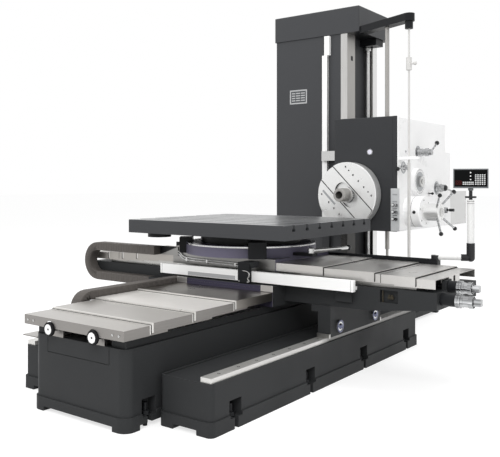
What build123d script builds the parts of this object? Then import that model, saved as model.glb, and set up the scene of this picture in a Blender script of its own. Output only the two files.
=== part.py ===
from build123d import *
import os
from math import cos, hypot, radians, sin

# Horizontal boring machine: a bed with a sliding saddle, a cross slide with a rotary table,
# and a column that carries the headstock. X runs across the bed, Y along it towards the column, Z up.
# The origin is on the floor, under the middle of the saddle. Sizes are in millimetres.

# Fits
slide_gap = 0.2  # a sliding face above its way
run_gap = 0.05  # a turning shaft in its bearing, on the radius
face_gap = 0.3  # two bodies that pass or turn face to face
cover_gap = 0.4  # the lip of a cover above the next section

# Main bed
bed_half = 348
bed_front = -1618
bed_rear = 2340
bed_top = 400
bed_corner = 50
plinth_step = 8
plinth_top = 72
foot_height = 24
foot_length = 95
foot_rows = (-800, 0, 800, 1600)
seat_front = 1300
seat_top = 450
bed_wall = 60
bed_roof = 45
bed_spine = 80
rib_pitch = 400
rib_wall = 28
apron_half = 235
apron_bottom = 312
groove = 4
bed_way_inner = 232
bed_way_width = 100
bed_way_height = 40
bed_way_front = -1600
bed_way_rear = 1290

# Support beds beside the main bed
support_inner = 372
support_outer = 705
support_front = -1415
support_rear = 970
support_top = 250
support_corner = 30
support_inner_wall = 30
support_outer_wall = 90
support_roof = 50
support_tie_length = 160
support_tie_rows = (-1200, -400, 400, 800)
tray_inset = 12
tray_depth = 10
rail_inner = 630
rail_width = 65
rail_height = 25
rail_setback = 10

# Levelling pockets and bolts
pocket_rows = (-1231, -532, 120, 777)
bed_pocket_row = -1465
pocket_width = 96
pocket_height = 87
pocket_floor = 55
pocket_depth = 70
bed_pocket_depth = 52
pocket_slot = 30
bolt_radius = 12
bolt_rise = 60
nut_radius = 24
nut_height = 20

# Column
pedestal_left = -945
pedestal_front = 1400
pedestal_rear = 2200
pedestal_corner = 40
pedestal_wall = 50
column_left = -915
column_right = -228
column_front = 1505
column_rear = 2085
column_top = 2509
column_wall = 40
column_rib = 25
column_edge = 10
column_way_depth = 65
front_way_width = 144
rear_way_width = 82
cap_side = 10
cap_front_over = 9
cap_right = -45
cap_height = 226
cap_wall = 30
cap_edge = 8
gearbox_left = -222
gearbox_right = -60
gearbox_front = 1860
gearbox_rear = 2000
gearbox_drop = 59
scale_left = -401
scale_width = 50
scale_depth = 30
scale_bottom = 611
scale_joint = 2330
scale_top = 2500
scale_shift = 22

# Shafts beside the column
arm_root_front = 1510
arm_root_rear = 1610
arm_bottom = 2492
arm_height = 61
arm_end_radius = 45
shaft_boss_radius = 40
rod_x = 484
rod_y = 1340
rod_radius = 8
rod_lower_radius = 12
rod_step = 1354
rod_foot = 440
rod_socket_radius = 32
rod_socket_drop = 60
rod_bracket_half = 30
rod_bracket_height = 40
stop_radius = 22
stop_bottom = 2100
stop_height = 100
stop_knob_radius = 15
stop_knob_reach = 52
feed_x = 247
feed_y = 1440
feed_radius = 18
feed_lower_radius = 11
feed_step = 643
feed_bearing_half = 40
feed_bearing_height = 110
screw_x = -195
screw_y = 1955
screw_radius = 24
screw_collar_radius = 32
screw_collar_height = 30

# Bed covers
cover_sheet = 2.5
cover_skirt = 50
cover_lip = 14
bed_cover_half = 376
bed_cover_side_step = 3.5
bed_cover_top = 500
bed_cover_step = 10
front_cover_starts = (-1658, -1475, -1165, -820)
front_cover_lengths = (300, 460, 466)
rear_cover_ends = (1290, 1148, 1006)
rear_cover_length = 560
post_inner = 110
post_width = 90
post_inset = 40
post_length = 50
buffer_spacing = 332
buffer_height = 445
buffer_radius = 37
buffer_width = 22
buffer_stem_radius = 15
buffer_proud = 14
buffer_notch = 41

# Cable chain beside the bed covers
bed_chain_inner = -392
bed_chain_width = 78
bed_chain_run = 54
bed_chain_bottom = 372
bed_chain_height = 190
bed_chain_bend = -1280
bed_chain_fixed = -300
bed_chain_tray = 6
bed_chain_tray_front = -1600

# Saddle
saddle_half = 385
saddle_half_length = 446
saddle_deck = 565
saddle_tongue = 90
saddle_tongue_drop = 38
wing_half = 318
wing_top = 600
wing_bottom = 465
wing_reach = 1365
wing_keel_reach = 960
wing_end_bottom = 505
wing_skin = 30
wing_cells = ((420, 580), (740, 960), (980, 1200))
wing_cell_half = 270
wing_cell_spine = 30
front_box = (759, 864, 504, 555)
front_box_depth = 24
front_pocket = (1030, 1140, 520, 590)
front_pocket_depth = 26
leg_inner = 633
leg_width = 86
leg_half_length = 330
leg_bottom = 280
leg_wall = 17
haunch_reach = 45
haunch_height = 40
roller_radius = 59
roller_width = 46
roller_spacing = 467
roller_room = 7
axle_radius = 20
axle_cap_radius = 38
axle_cap_thickness = 14
wiper_thickness = 15
wiper_drop = 4
wiper_height = 24
frame_thickness = 6
frame_width = 24
frame_proud = 4
frame_top = 550
frame_bottom = 446
cross_way_inner = 190
cross_way_width = 80
cross_way_height = 40
cross_way_reach = 1230
cross_scale_left = -581
cross_scale_right = 908
cross_scale_back = -379
cross_scale_depth = 30
cross_scale_bottom = 575
cross_scale_height = 65
scale_foot_places = (-540, -60, 420, 870)
scale_foot_width = 36
scale_foot_bottom = 578
scale_foot_height = 18
tray_half_length = 1110
tray_back_gap = 12
tray_sheet = 6
tray_bottom = 568
tray_height = 144
tray_foot_rows = (-1000, -500, 0, 500, 1000)
tray_foot_length = 80
tray_foot_height = 30

# Cross covers
cross_cover_half = 316
cross_cover_side_step = 3
cross_cover_top = 669
cross_cover_step = 8.5
right_cover_setbacks = (8, 121, 367)
right_cover_lengths = (240, 460, 497)
slide_right_cover_end = 665
left_cover_setback = 10
left_cover_length = 365
slide_left_cover_end = -900
cross_post_inner = 16
cross_post_width = 70
cross_post_inset = 12
cross_post_length = 46

# Hand shafts at the operator end of the saddle
shaft_stub_radius = 15
shaft_stub_length = 60
lower_shaft = (-250, 560)
lower_shaft_sleeve = 84
lower_shaft_length = 218
upper_shaft = (-138, 616)
upper_shaft_sleeve = 51
upper_shaft_length = 172
shaft_sleeve_radius = 34
shaft_collar_radius = 29
shaft_square = 36
shaft_square_length = 40
gear_case_half = 42
gear_case_height = 55
gear_case_depth = 26

# Display arm and display
knuckle_x = 1087
knuckle_y = 362
knuckle_half = 26
knuckle_height = 56
knuckle_drop = 12
knuckle_pin_radius = 15
arm_tube_radius = 17.5
arm_collar_radius = 25
arm_collar_height = 33
arm_line_rise = 20
arm_end = (1285, 454)
arm_elbow_radius = 26
arm_sleeve_radius = 26
arm_sleeve_top = 813
arm_socket_radius = 22
arm_socket_length = 60
arm_post_radius = 22
arm_post_top = 1087
arm_stem_radius = 11
swivel_disc_radius = 35
swivel_disc_rise = 11
swivel_disc_height = 12
display_bottom = 1160
display_height = 123
display_width = 212
display_depth = 56
display_turn = 19
display_edge = 8
display_pad_radius = 16
display_pad_height = 14

# Cross slide, turntable and table
slide_left = -535
slide_right = 325
slide_half = 330
slide_top = 714
slide_tongue = 80
slide_tongue_drop = 38
table_x = -105
ring_radius = 450
ring_height = 76
hub_radius = 350
table_length = 1290
table_width = 1100
table_bottom = 854
table_thickness = 89
table_edge = 5
slot_count = 7
slot_pitch = 150
slot_neck = 22
slot_neck_depth = 24
slot_foot = 37
slot_foot_depth = 16
boss_spot = (-580, -420)
boss_radius = 80
boss_height = 30
clamp_block_angles = (217, 311, 84)
clamp_block_width = 115
clamp_block_depth = 90
clamp_block_height = 105
lever_bracket_left = 290
lever_x = 444
lever_y = -100
lever_bracket_half = 30
lever_bracket_bottom = 726
lever_bracket_height = 18
lever_pin_radius = 10
lever_pin_height = 36
lever_hub_radius = 22
lever_hub_height = 30
lever_rod_radius = 12
lever_rod_end = (444, 400, 742)
lever_knob_radius = 20
reader_left = 113
reader_width = 88
reader_bottom = 570
reader_top = 697
reader_thickness = 26
reader_gap = 3
reader_bracket_height = 36

# Cable chain of the cross slide
cross_chain_back = -331
cross_chain_width = 74
cross_chain_run = 60
cross_chain_bottom = 474
cross_chain_height = 278
cross_chain_over = 10
cross_chain_moving = -647
cross_chain_fixed = -700
chain_plate_right = -480
chain_plate_thickness = 12
chain_foot_length = 90

# Headstock
head_right = 370
head_lip = 9
head_lip_rear = 1490
head_front = 1287
head_rear = 2328
head_bottom = 801
head_top = 1735
head_edge = 8
head_wall = 40
head_cell_bottom = 1245
head_cells = 3
tongue_left = -218
tongue_length = 110
tongue_bottom = 820
tongue_height = 860
nut_front = 1905
nut_left = -223
nut_bottom = 1100
nut_length = 150
nut_gap = 0.4
head_reader_left = -385
head_reader_front = 1438
head_reader_depth = 32
head_reader_bottom = 1390
head_reader_height = 85
spindle_height = 1096
spindle_radius = 55
spindle_nose = 1061
spindle_length = 1750
taper_mouth_radius = 31.7
taper_end_radius = 27
taper_depth = 180
sleeve_radius = 85
sleeve_rear = 1900
sleeve_nose_radius = 65.5
sleeve_nose_proud = 10
tail_radius = 82
tail_rear = 2896
tail_wall = 15
plate_front = 1181
plate_radius = 270
plate_thickness = 100
plate_edge = 6
band_width = 158
band_depth = 20
band_travel = 50
band_gap = 0.2
band_slot_gap = 2
band_groove = 4
plate_hole_radius = 8
plate_hole_depth = 22
plate_hole_places = (-166, -70, 0, 70, 166)
plate_hole_offset = 160
housing_thickness = 40
housing_edge = 12
housing_inner = 150
housing_rear = 2456
housing_rear_top = 1480
tail_box_inner = 200
tail_box_rear = 2896
tail_box_bottom = 798
tail_box_top = 1127
trip_arm_reach = 175
trip_arm_front = 1292
trip_arm_depth = 32
trip_arm_bottom = 1380
trip_arm_height = 24

# Controls on the headstock
drum_y = 1505
drum_z = 958
drum_radius = 126
drum_length = 140
drum_edge = 8
capstan_hub_radius = 70
capstan_hub_length = 140
capstan_hub_edge = 10
capstan_spoke_radius = 9
capstan_spoke_length = 215
capstan_spoke_lean = 100
capstan_ball_radius = 17
capstan_first_angle = 50
capstan_spokes = 4
dial_y = 1643
dial_z = 1205
dial_radius = 115
dial_thickness = 40
dial_hub_radius = 46
dial_hub_length = 24
lever_1_hub = (1696, 1453)
lever_1_ball = (540, 1792, 1533)
lever_1_radius = 27
lever_1_length = 124
lever_1_ball_radius = 19
lever_2_hub = (1400, 1320)
lever_2_ball = (432, 1240, 1305)
lever_2_radius = 20
lever_2_length = 34
lever_2_ball_radius = 17
lever_3_hub = (2113, 1149)
lever_3_ball = (490, 2333, 1111)
lever_3_radius = 30
lever_3_length = 80
lever_3_ball_radius = 20
lever_arm_radius = 8
crank_hub = (2220, 946)
crank_radius = 26
crank_length = 60
crank_throw = 70
crank_grip_radius = 13
crank_grip_length = 45
panel_left = 354
panel_right = 426
panel_bottom = 806
panel_top = 1150
panel_thickness = 8
panel_rows = (904, 960, 1016)
lamp_x = 372
selector_x = 404
lamp_radius = 11
lamp_height = 10
selector_radius = 13
selector_height = 14
selector_grip = 8
selector_grip_height = 10

# Worked out from the sizes above
bed_middle = (bed_front + bed_rear) / 2
bed_length = bed_rear - bed_front
plinth_half = bed_half + plinth_step
guide_top = bed_top + bed_way_height
rail_top = support_top + rail_height
column_way_face = column_right + column_way_depth
cap_top = column_top + cap_height
saddle_bottom = guide_top + slide_gap
frame_front = saddle_half_length + frame_thickness
leg_outer = leg_inner + leg_width
leg_middle = leg_inner + leg_width / 2
roller_centre = rail_top + face_gap + roller_radius
cross_guide_top = wing_top + cross_way_height
slide_bottom = cross_guide_top + slide_gap
right_cover_ends = [wing_reach - setback for setback in right_cover_setbacks]
left_fixed_end = left_cover_setback - wing_reach
left_cover_step = (slide_left_cover_end - left_fixed_end) / 3
left_cover_ends = [left_fixed_end + number * left_cover_step for number in range(3)]
cross_chain_bend = -wing_reach - cross_chain_over
ring_top = slide_top + ring_height
table_top = table_bottom + table_thickness
head_left = column_way_face + slide_gap
housing_face = head_right + housing_thickness
plate_rear = plate_front + plate_thickness
LOW = (Align.CENTER, Align.CENTER, Align.MIN)


def block(x0, x1, y0, y1, z0, z1, mode=Mode.ADD):
    """Box between two opposite corners."""
    with Locations(((x0 + x1) / 2, (y0 + y1) / 2, (z0 + z1) / 2)):
        Box(abs(x1 - x0), abs(y1 - y0), abs(z1 - z0), mode=mode)


def lay(along, a0, a1, c0, c1, z0, z1, mode=Mode.ADD):
    """Box whose first span lies along the named axis, and whose second span lies across it."""
    if along == "X":
        block(a0, a1, c0, c1, z0, z1, mode)
    else:
        block(c0, c1, a0, a1, z0, z1, mode)


def bar(start, end, radius, mode=Mode.ADD):
    """Round bar from one point to another."""
    run = Vector(*end) - Vector(*start)
    with Locations(Plane(origin=start, z_dir=run.normalized()).location):
        Cylinder(radius, run.length, align=LOW, mode=mode)


def ball(centre, radius):
    """Round knob at a point."""
    with Locations(centre):
        Sphere(radius)


def rib_cells(x_spans, y_start, y_end, z_top):
    """Cells cut from below, with a rib between neighbours along Y."""
    count = max(1, round((y_end - y_start) / rib_pitch))
    step = (y_end - y_start) / count
    for x0, x1 in x_spans:
        for i in range(count):
            y0 = y_start + i * step + rib_wall / 2
            block(x0, x1, y0, y0 + step - rib_wall, 0, z_top, Mode.SUBTRACT)


def levelling_pocket(face, side, row, depth):
    """Pocket in a side wall, with a narrow slot down to the floor for the levelling bolt."""
    outer = side * (face + plinth_step + 1)
    inner = side * (face - depth)
    for width, bottom in ((pocket_width, pocket_floor), (pocket_slot, 0)):
        pocket_top = pocket_floor + pocket_height
        block(inner, outer, row - width / 2, row + width / 2, bottom, pocket_top, Mode.SUBTRACT)


def keep(name, *parts):
    """Label a finished piece, or a group of pieces that touch, and write its file."""
    part = parts[0] if len(parts) == 1 else Compound(children=list(parts))
    part.label = name
    export_step(part, f"parts/{name}.step")


def sheet_cover(along, start, end, half, top, top_wall, side_wall):
    """Bent cover sheet: a top and two skirts."""
    lay(along, start, end, -half, half, top - top_wall, top)
    for side in (-1, 1):
        lay(along, start, end, side * half, side * (half - side_wall), top - cover_skirt, top - top_wall)


def telescopic(along, lip_end, far_end, level, half, side_step, top, step):
    """One telescopic section at a level above the lowest one, with a wiper lip at its outer end."""
    half_here = half + level * side_step
    top_here = top + level * step
    inward = 1 if far_end > lip_end else -1
    with BuildPart() as section:
        sheet_cover(along, lip_end, far_end, half_here, top_here, cover_sheet, cover_sheet)
        if level > 0:
            lip_stop = lip_end + inward * cover_lip
            lip_top, lip_side = step - cover_gap, side_step - cover_gap
            sheet_cover(along, lip_end, lip_stop, half_here, top_here, lip_top, lip_side)
    return section.part


def bed_section(lip_end, far_end, level):
    """Telescopic section over the bed ways."""
    sizes = (bed_cover_half, bed_cover_side_step, bed_cover_top, bed_cover_step)
    return telescopic("Y", lip_end, far_end, level, *sizes)


def cross_section(lip_end, far_end, level):
    """Telescopic section over the cross ways."""
    sizes = (cross_cover_half, cross_cover_side_step, cross_cover_top, cross_cover_step)
    return telescopic("X", lip_end, far_end, level, *sizes)


os.makedirs("parts", exist_ok=True)

# Main bed: a ribbed casting on pads, with a raised seat for the column at its rear
with BuildPart() as main_bed:
    with BuildSketch():
        with Locations((0, bed_middle)):
            RectangleRounded(2 * plinth_half, bed_length + 2 * plinth_step, bed_corner + plinth_step)
    extrude(amount=plinth_top)
    with BuildSketch(Plane.XY.offset(plinth_top)):
        with Locations((0, bed_middle)):
            RectangleRounded(2 * bed_half, bed_length, bed_corner)
    extrude(amount=bed_top - plinth_top)
    with BuildSketch(Plane.XY.offset(bed_top)) as column_seat:
        with Locations((0, (seat_front + bed_rear) / 2)):
            Rectangle(2 * bed_half, bed_rear - seat_front)
        fillet(column_seat.vertices().group_by(Axis.Y)[-1], radius=bed_corner)
    extrude(amount=seat_top - bed_top)
    cell_outer = bed_half - bed_wall
    cell_spans = ((-cell_outer, -bed_spine / 2), (bed_spine / 2, cell_outer))
    rib_cells(cell_spans, bed_front + bed_wall, bed_rear - bed_wall, bed_top - bed_roof)
    pad_edges = [bed_front - plinth_step + foot_length]
    for row in foot_rows:
        pad_edges += [row - foot_length / 2, row + foot_length / 2]
    pad_edges.append(bed_rear + plinth_step - foot_length)
    for y0, y1 in zip(pad_edges[::2], pad_edges[1::2]):
        block(-plinth_half, plinth_half, y0, y1, 0, foot_height, Mode.SUBTRACT)
    between_feet = plinth_half - foot_length
    block(-between_feet, between_feet, bed_front - plinth_step, pad_edges[0], 0, foot_height, Mode.SUBTRACT)
    for x0, x1, z0, z1 in (
        (-apron_half, apron_half, apron_bottom, apron_bottom + groove),
        (-apron_half, -apron_half + groove, apron_bottom, bed_top),
        (apron_half - groove, apron_half, apron_bottom, bed_top),
    ):
        block(x0, x1, bed_front, bed_front + groove, z0, z1, Mode.SUBTRACT)
    for side in (-1, 1):
        levelling_pocket(bed_half, side, bed_pocket_row, bed_pocket_depth)
keep("main_bed", main_bed.part)

# Two flat ways on the bed
with BuildPart() as bed_guideways:
    for side in (-1, 1):
        outer_edge = side * (bed_way_inner + bed_way_width)
        block(side * bed_way_inner, outer_edge, bed_way_front, bed_way_rear, bed_top, guide_top)
keep("bed_guideways", bed_guideways.part)


def support_bed(side):
    """Long bed beside the main bed, tied to it, with a shallow tray and pockets for levelling bolts."""
    width = support_outer - support_inner
    length = support_rear - support_front
    middle = (support_front + support_rear) / 2
    with BuildPart() as bed:
        with BuildSketch():
            with Locations((side * (support_inner + (width + plinth_step) / 2), middle)):
                RectangleRounded(width + plinth_step, length + 2 * plinth_step, support_corner)
        extrude(amount=plinth_top)
        with BuildSketch(Plane.XY.offset(plinth_top)):
            with Locations((side * (support_inner + width / 2), middle)):
                RectangleRounded(width, length, support_corner)
        extrude(amount=support_top - plinth_top)
        tray_ends = (support_front + tray_inset, support_rear - tray_inset)
        tray_sides = (side * (support_inner + tray_inset), side * (rail_inner - tray_inset))
        block(*tray_sides, *tray_ends, support_top - tray_depth, support_top, Mode.SUBTRACT)
        inner = support_inner + support_inner_wall
        outer = support_outer - support_outer_wall
        span = (min(side * inner, side * outer), max(side * inner, side * outer))
        rib_cells((span,), support_front + bed_wall, support_rear - bed_wall, support_top - support_roof)
        foot_back = support_front - plinth_step + foot_length
        between = (side * (support_inner + foot_length), side * (support_outer + plinth_step - foot_length))
        block(*between, support_front - plinth_step, foot_back, 0, foot_height, Mode.SUBTRACT)
        for row in pocket_rows:
            levelling_pocket(support_outer, side, row, pocket_depth)
        for row in support_tie_rows:
            tie = (row - support_tie_length / 2, row + support_tie_length / 2)
            block(side * bed_half, side * support_inner, *tie, plinth_top, support_top - tray_depth)
    return bed.part


keep("left_support_bed", support_bed(-1))
keep("right_support_bed", support_bed(1))

# Ground rails that carry the rollers of the saddle
with BuildPart() as support_rails:
    for side in (-1, 1):
        rail_edges = (side * rail_inner, side * (rail_inner + rail_width))
        block(*rail_edges, support_front + rail_setback, support_rear - rail_setback, support_top, rail_top)
keep("support_rails", support_rails.part)

# Levelling bolts with their nuts, one in each pocket
with BuildPart() as levelling_bolts:
    for face, depth, rows in (
        (support_outer, pocket_depth, pocket_rows),
        (bed_half, bed_pocket_depth, [bed_pocket_row]),
    ):
        for side in (-1, 1):
            for row in rows:
                with Locations((side * (face - depth / 2), row, 0)):
                    Cylinder(bolt_radius, pocket_floor + bolt_rise, align=LOW)
                with BuildSketch(Plane((side * (face - depth / 2), row, pocket_floor))):
                    RegularPolygon(nut_radius, 6)
                extrude(amount=nut_height)
keep("levelling_bolts", levelling_bolts.part)

# Pedestal under the column, bolted to the left side of the bed
with BuildPart() as column_pedestal:
    block(pedestal_left, -plinth_half, pedestal_front, pedestal_rear, 0, seat_top)
    outer_edges = column_pedestal.edges().filter_by(Axis.Z).group_by(Axis.X)[0]
    fillet(outer_edges, radius=pedestal_corner)
    block(-plinth_half, -bed_half, pedestal_front, pedestal_rear, plinth_top, seat_top)
    pedestal_middle = (pedestal_left - plinth_half) / 2
    pedestal_spans = (
        (pedestal_left + pedestal_wall, pedestal_middle - rib_wall / 2),
        (pedestal_middle + rib_wall / 2, -plinth_half - pedestal_wall),
    )
    rib_start, rib_end = pedestal_front + pedestal_wall, pedestal_rear - pedestal_wall
    rib_cells(pedestal_spans, rib_start, rib_end, seat_top - bed_roof)
keep("column_pedestal", column_pedestal.part)

# Column: a tall box with a cross of ribs inside
with BuildPart() as column:
    block(column_left, column_right, column_front, column_rear, seat_top, column_top)
    left_edges = column.edges().filter_by(Axis.Z).group_by(Axis.X)[0]
    fillet(left_edges, radius=column_edge)
    inner_x = column_right - column_left - 2 * column_wall
    inner_y = column_rear - column_front - 2 * column_wall
    cell_x = (inner_x - column_rib) / 2
    cell_y = (inner_y - column_rib) / 2
    column_middle = ((column_left + column_right) / 2, (column_front + column_rear) / 2, seat_top)
    with Locations(column_middle):
        with GridLocations(cell_x + column_rib, cell_y + column_rib, 2, 2):
            Box(cell_x, cell_y, column_top - seat_top, align=LOW, mode=Mode.SUBTRACT)
keep("column", column.part)

# Two hardened ways on the side of the column
with BuildPart() as column_guideways:
    for y0, y1 in (
        (column_front, column_front + front_way_width),
        (column_rear - rear_way_width, column_rear),
    ):
        block(column_right, column_way_face, y0, y1, seat_top, column_top)
keep("column_guideways", column_guideways.part)

# Cap over the column, open below, with a rib, and the lift gearbox under its overhang
with BuildPart() as column_cap:
    cap_left = column_left - cap_side
    cap_front = column_front - cap_front_over
    cap_rear = column_rear + cap_front_over
    block(cap_left, cap_right, cap_front, cap_rear, column_top, cap_top)
    fillet(column_cap.edges().filter_by(Axis.Z), radius=cap_edge)
    fillet(column_cap.faces().sort_by(Axis.Z)[-1].edges(), radius=cap_edge)
    cap_middle = (cap_front + cap_rear) / 2
    for y0, y1 in (
        (cap_front + cap_wall, cap_middle - cap_wall / 2),
        (cap_middle + cap_wall / 2, cap_rear - cap_wall),
    ):
        roof = cap_top - cap_wall
        block(cap_left + cap_wall, column_right - cap_wall, y0, y1, column_top, roof, Mode.SUBTRACT)
        overhang = (column_right - cap_wall, cap_right - cap_wall)
        block(*overhang, y0, y1, column_top + cap_wall, roof, Mode.SUBTRACT)
with BuildPart() as lift_gearbox:
    block(gearbox_left, gearbox_right, gearbox_front, gearbox_rear, column_top - gearbox_drop, column_top)
keep("column_cap", column_cap.part, lift_gearbox.part)

# Scale bar on the front of the column, in two lengths
with BuildPart() as vertical_scale:
    scale_front = column_front - scale_depth
    block(scale_left, scale_left + scale_width, scale_front, column_front, scale_bottom, scale_joint)
    upper_left = scale_left + scale_shift
    block(upper_left, upper_left + scale_width, scale_front, column_front, scale_joint, scale_top)
keep("vertical_scale", vertical_scale.part)

# Supports of the two shafts: the arm at the top, the limit rod's foot and the feed shaft's lower bearing
arm_root = (cap_right, (arm_root_front + arm_root_rear) / 2)
arm_run = hypot(rod_x - arm_root[0], rod_y - arm_root[1])
across_x = (arm_root[1] - rod_y) / arm_run * arm_end_radius
across_y = (rod_x - arm_root[0]) / arm_run * arm_end_radius
with BuildPart() as shaft_supports:
    with BuildSketch(Plane.XY.offset(arm_bottom)):
        with BuildLine():
            Polyline(
                (cap_right, arm_root_front),
                (rod_x - across_x, rod_y - across_y),
                (rod_x + across_x, rod_y + across_y),
                (cap_right, arm_root_rear),
                close=True,
            )
        make_face()
        with Locations((rod_x, rod_y)):
            Circle(arm_end_radius)
        with Locations((feed_x, feed_y)):
            Circle(shaft_boss_radius)
    extrude(amount=arm_height)
    with Locations((rod_x, rod_y, arm_bottom - rod_socket_drop)):
        Cylinder(rod_socket_radius, rod_socket_drop, align=LOW)
    rod_bracket = (rod_y - rod_bracket_half, rod_y + rod_bracket_half)
    block(bed_half, rod_x + rod_bracket_half, *rod_bracket, rod_foot - rod_bracket_height, rod_foot)
    with Locations((feed_x, feed_y, seat_top)):
        Box(2 * feed_bearing_half, 2 * feed_bearing_half, feed_bearing_height, align=LOW)
        Cylinder(feed_lower_radius + run_gap, feed_bearing_height, align=LOW, mode=Mode.SUBTRACT)
keep("shaft_supports", shaft_supports.part)

# Limit rod with its adjustable stop
with BuildPart() as limit_rod:
    bar((rod_x, rod_y, rod_foot), (rod_x, rod_y, rod_step), rod_lower_radius)
    bar((rod_x, rod_y, rod_step), (rod_x, rod_y, arm_bottom - rod_socket_drop), rod_radius)
    bar((rod_x, rod_y, stop_bottom), (rod_x, rod_y, stop_bottom + stop_height), stop_radius)
    stop_middle = stop_bottom + stop_height / 2
    bar((rod_x, rod_y, stop_middle), (rod_x + stop_knob_reach, rod_y, stop_middle), rod_radius)
    ball((rod_x + stop_knob_reach, rod_y, stop_middle), stop_knob_radius)
keep("limit_rod", limit_rod.part)

# Keyed feed shaft that turns between the arm and a bearing on the bed
with BuildPart() as feed_shaft:
    bar((feed_x, feed_y, seat_top + face_gap), (feed_x, feed_y, feed_step), feed_lower_radius)
    bar((feed_x, feed_y, feed_step), (feed_x, feed_y, arm_bottom - face_gap), feed_radius)
keep("feed_shaft", feed_shaft.part)

# Lead screw that lifts the headstock
with BuildPart() as elevating_screw:
    screw_foot = seat_top + face_gap
    screw_head = column_top - gearbox_drop - face_gap
    bar((screw_x, screw_y, screw_foot), (screw_x, screw_y, screw_head), screw_radius)
    collar_top = screw_foot + screw_collar_height
    bar((screw_x, screw_y, screw_foot), (screw_x, screw_y, collar_top), screw_collar_radius)
keep("elevating_screw", elevating_screw.part)


def cover_posts(along, end, inward, inner, width, inset, length, bottom, top):
    """Pair of posts that hold a fixed cover section at its outer end."""
    start = end + inward * inset
    for side in (-1, 1):
        lay(along, start, start + inward * length, side * inner, side * (inner + width), bottom, top)


# Fixed cover sections at both ends of the bed ways, and the tray of the bed cable chain
front_fixed_end = front_cover_starts[0] + front_cover_lengths[0]
rear_fixed_start = rear_cover_ends[0] - rear_cover_length
post_top = bed_cover_top - cover_sheet
with BuildPart() as bed_covers:
    add(bed_section(front_cover_starts[0], front_fixed_end, 0))
    end_wall = (front_cover_starts[0], front_cover_starts[0] + cover_sheet)
    block(-bed_cover_half, bed_cover_half, *end_wall, bed_cover_top - cover_skirt, bed_cover_top)
    for side in (-1, 1):
        notch_start = (side * buffer_spacing / 2, front_cover_starts[0] - 1, buffer_height)
        notch_end = (side * buffer_spacing / 2, front_cover_starts[0] + cover_sheet + 1, buffer_height)
        bar(notch_start, notch_end, buffer_notch, Mode.SUBTRACT)
    posts = (post_inner, post_width, post_inset, post_length, bed_top, post_top)
    cover_posts("Y", front_cover_starts[0], 1, *posts)
    add(bed_section(rear_cover_ends[0], rear_fixed_start, 0))
    cover_posts("Y", rear_cover_ends[0], -1, *posts)
    chain_outer = bed_chain_inner - bed_chain_width
    tray_top = bed_chain_bottom - face_gap
    block(chain_outer, -bed_half, bed_chain_tray_front, bed_chain_fixed, tray_top - bed_chain_tray, tray_top)
keep("bed_covers", bed_covers.part)

# Buffers at the front end of the covers
with BuildPart() as cover_buffers:
    for side in (-1, 1):
        buffer_x = side * buffer_spacing / 2
        buffer_front = front_cover_starts[0] - buffer_proud
        wheel_back = (buffer_x, buffer_front + buffer_width, buffer_height)
        bar((buffer_x, buffer_front, buffer_height), wheel_back, buffer_radius)
        stem_end = (buffer_x, front_cover_starts[0] + post_inset, buffer_height)
        bar(wheel_back, stem_end, buffer_stem_radius)
keep("cover_buffers", cover_buffers.part)

# Sliding cover sections of the bed
for number in (2, 3):
    start = front_cover_starts[number - 1]
    section = bed_section(start, start + front_cover_lengths[number - 1], number - 1)
    keep(f"front_cover_{number}", section)
keep("rear_cover_2", bed_section(rear_cover_ends[1], rear_cover_ends[1] - rear_cover_length, 1))


def chain_loop(plane, tip, fixed, moving, bottom, height, run, width):
    """Cable chain: a lower run, a half-round bend at its tip and an upper run."""
    bend = height / 2
    with BuildPart() as chain:
        with BuildSketch(plane):
            with Locations((tip + bend, bottom + bend)):
                Circle(bend)
                Circle(bend - run, mode=Mode.SUBTRACT)
                Rectangle(bend, height, align=(Align.MIN, Align.CENTER), mode=Mode.SUBTRACT)
            for end, low in ((fixed, bottom), (moving, bottom + height - run)):
                with Locations(((tip + bend + end) / 2, low + run / 2)):
                    Rectangle(end - tip - bend, run)
        extrude(amount=width)
    return chain.part


# Cable chain along the left of the bed covers, from its tray to the wing of the saddle
bed_chain_plane = Plane(origin=(bed_chain_inner - bed_chain_width, 0, 0), x_dir=(0, 1, 0), z_dir=(1, 0, 0))
bed_cable_chain = chain_loop(
    bed_chain_plane,
    bed_chain_bend,
    bed_chain_fixed,
    -wing_half,
    bed_chain_bottom,
    bed_chain_height,
    bed_chain_run,
    bed_chain_width,
)
keep("bed_cable_chain", bed_cable_chain)

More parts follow.
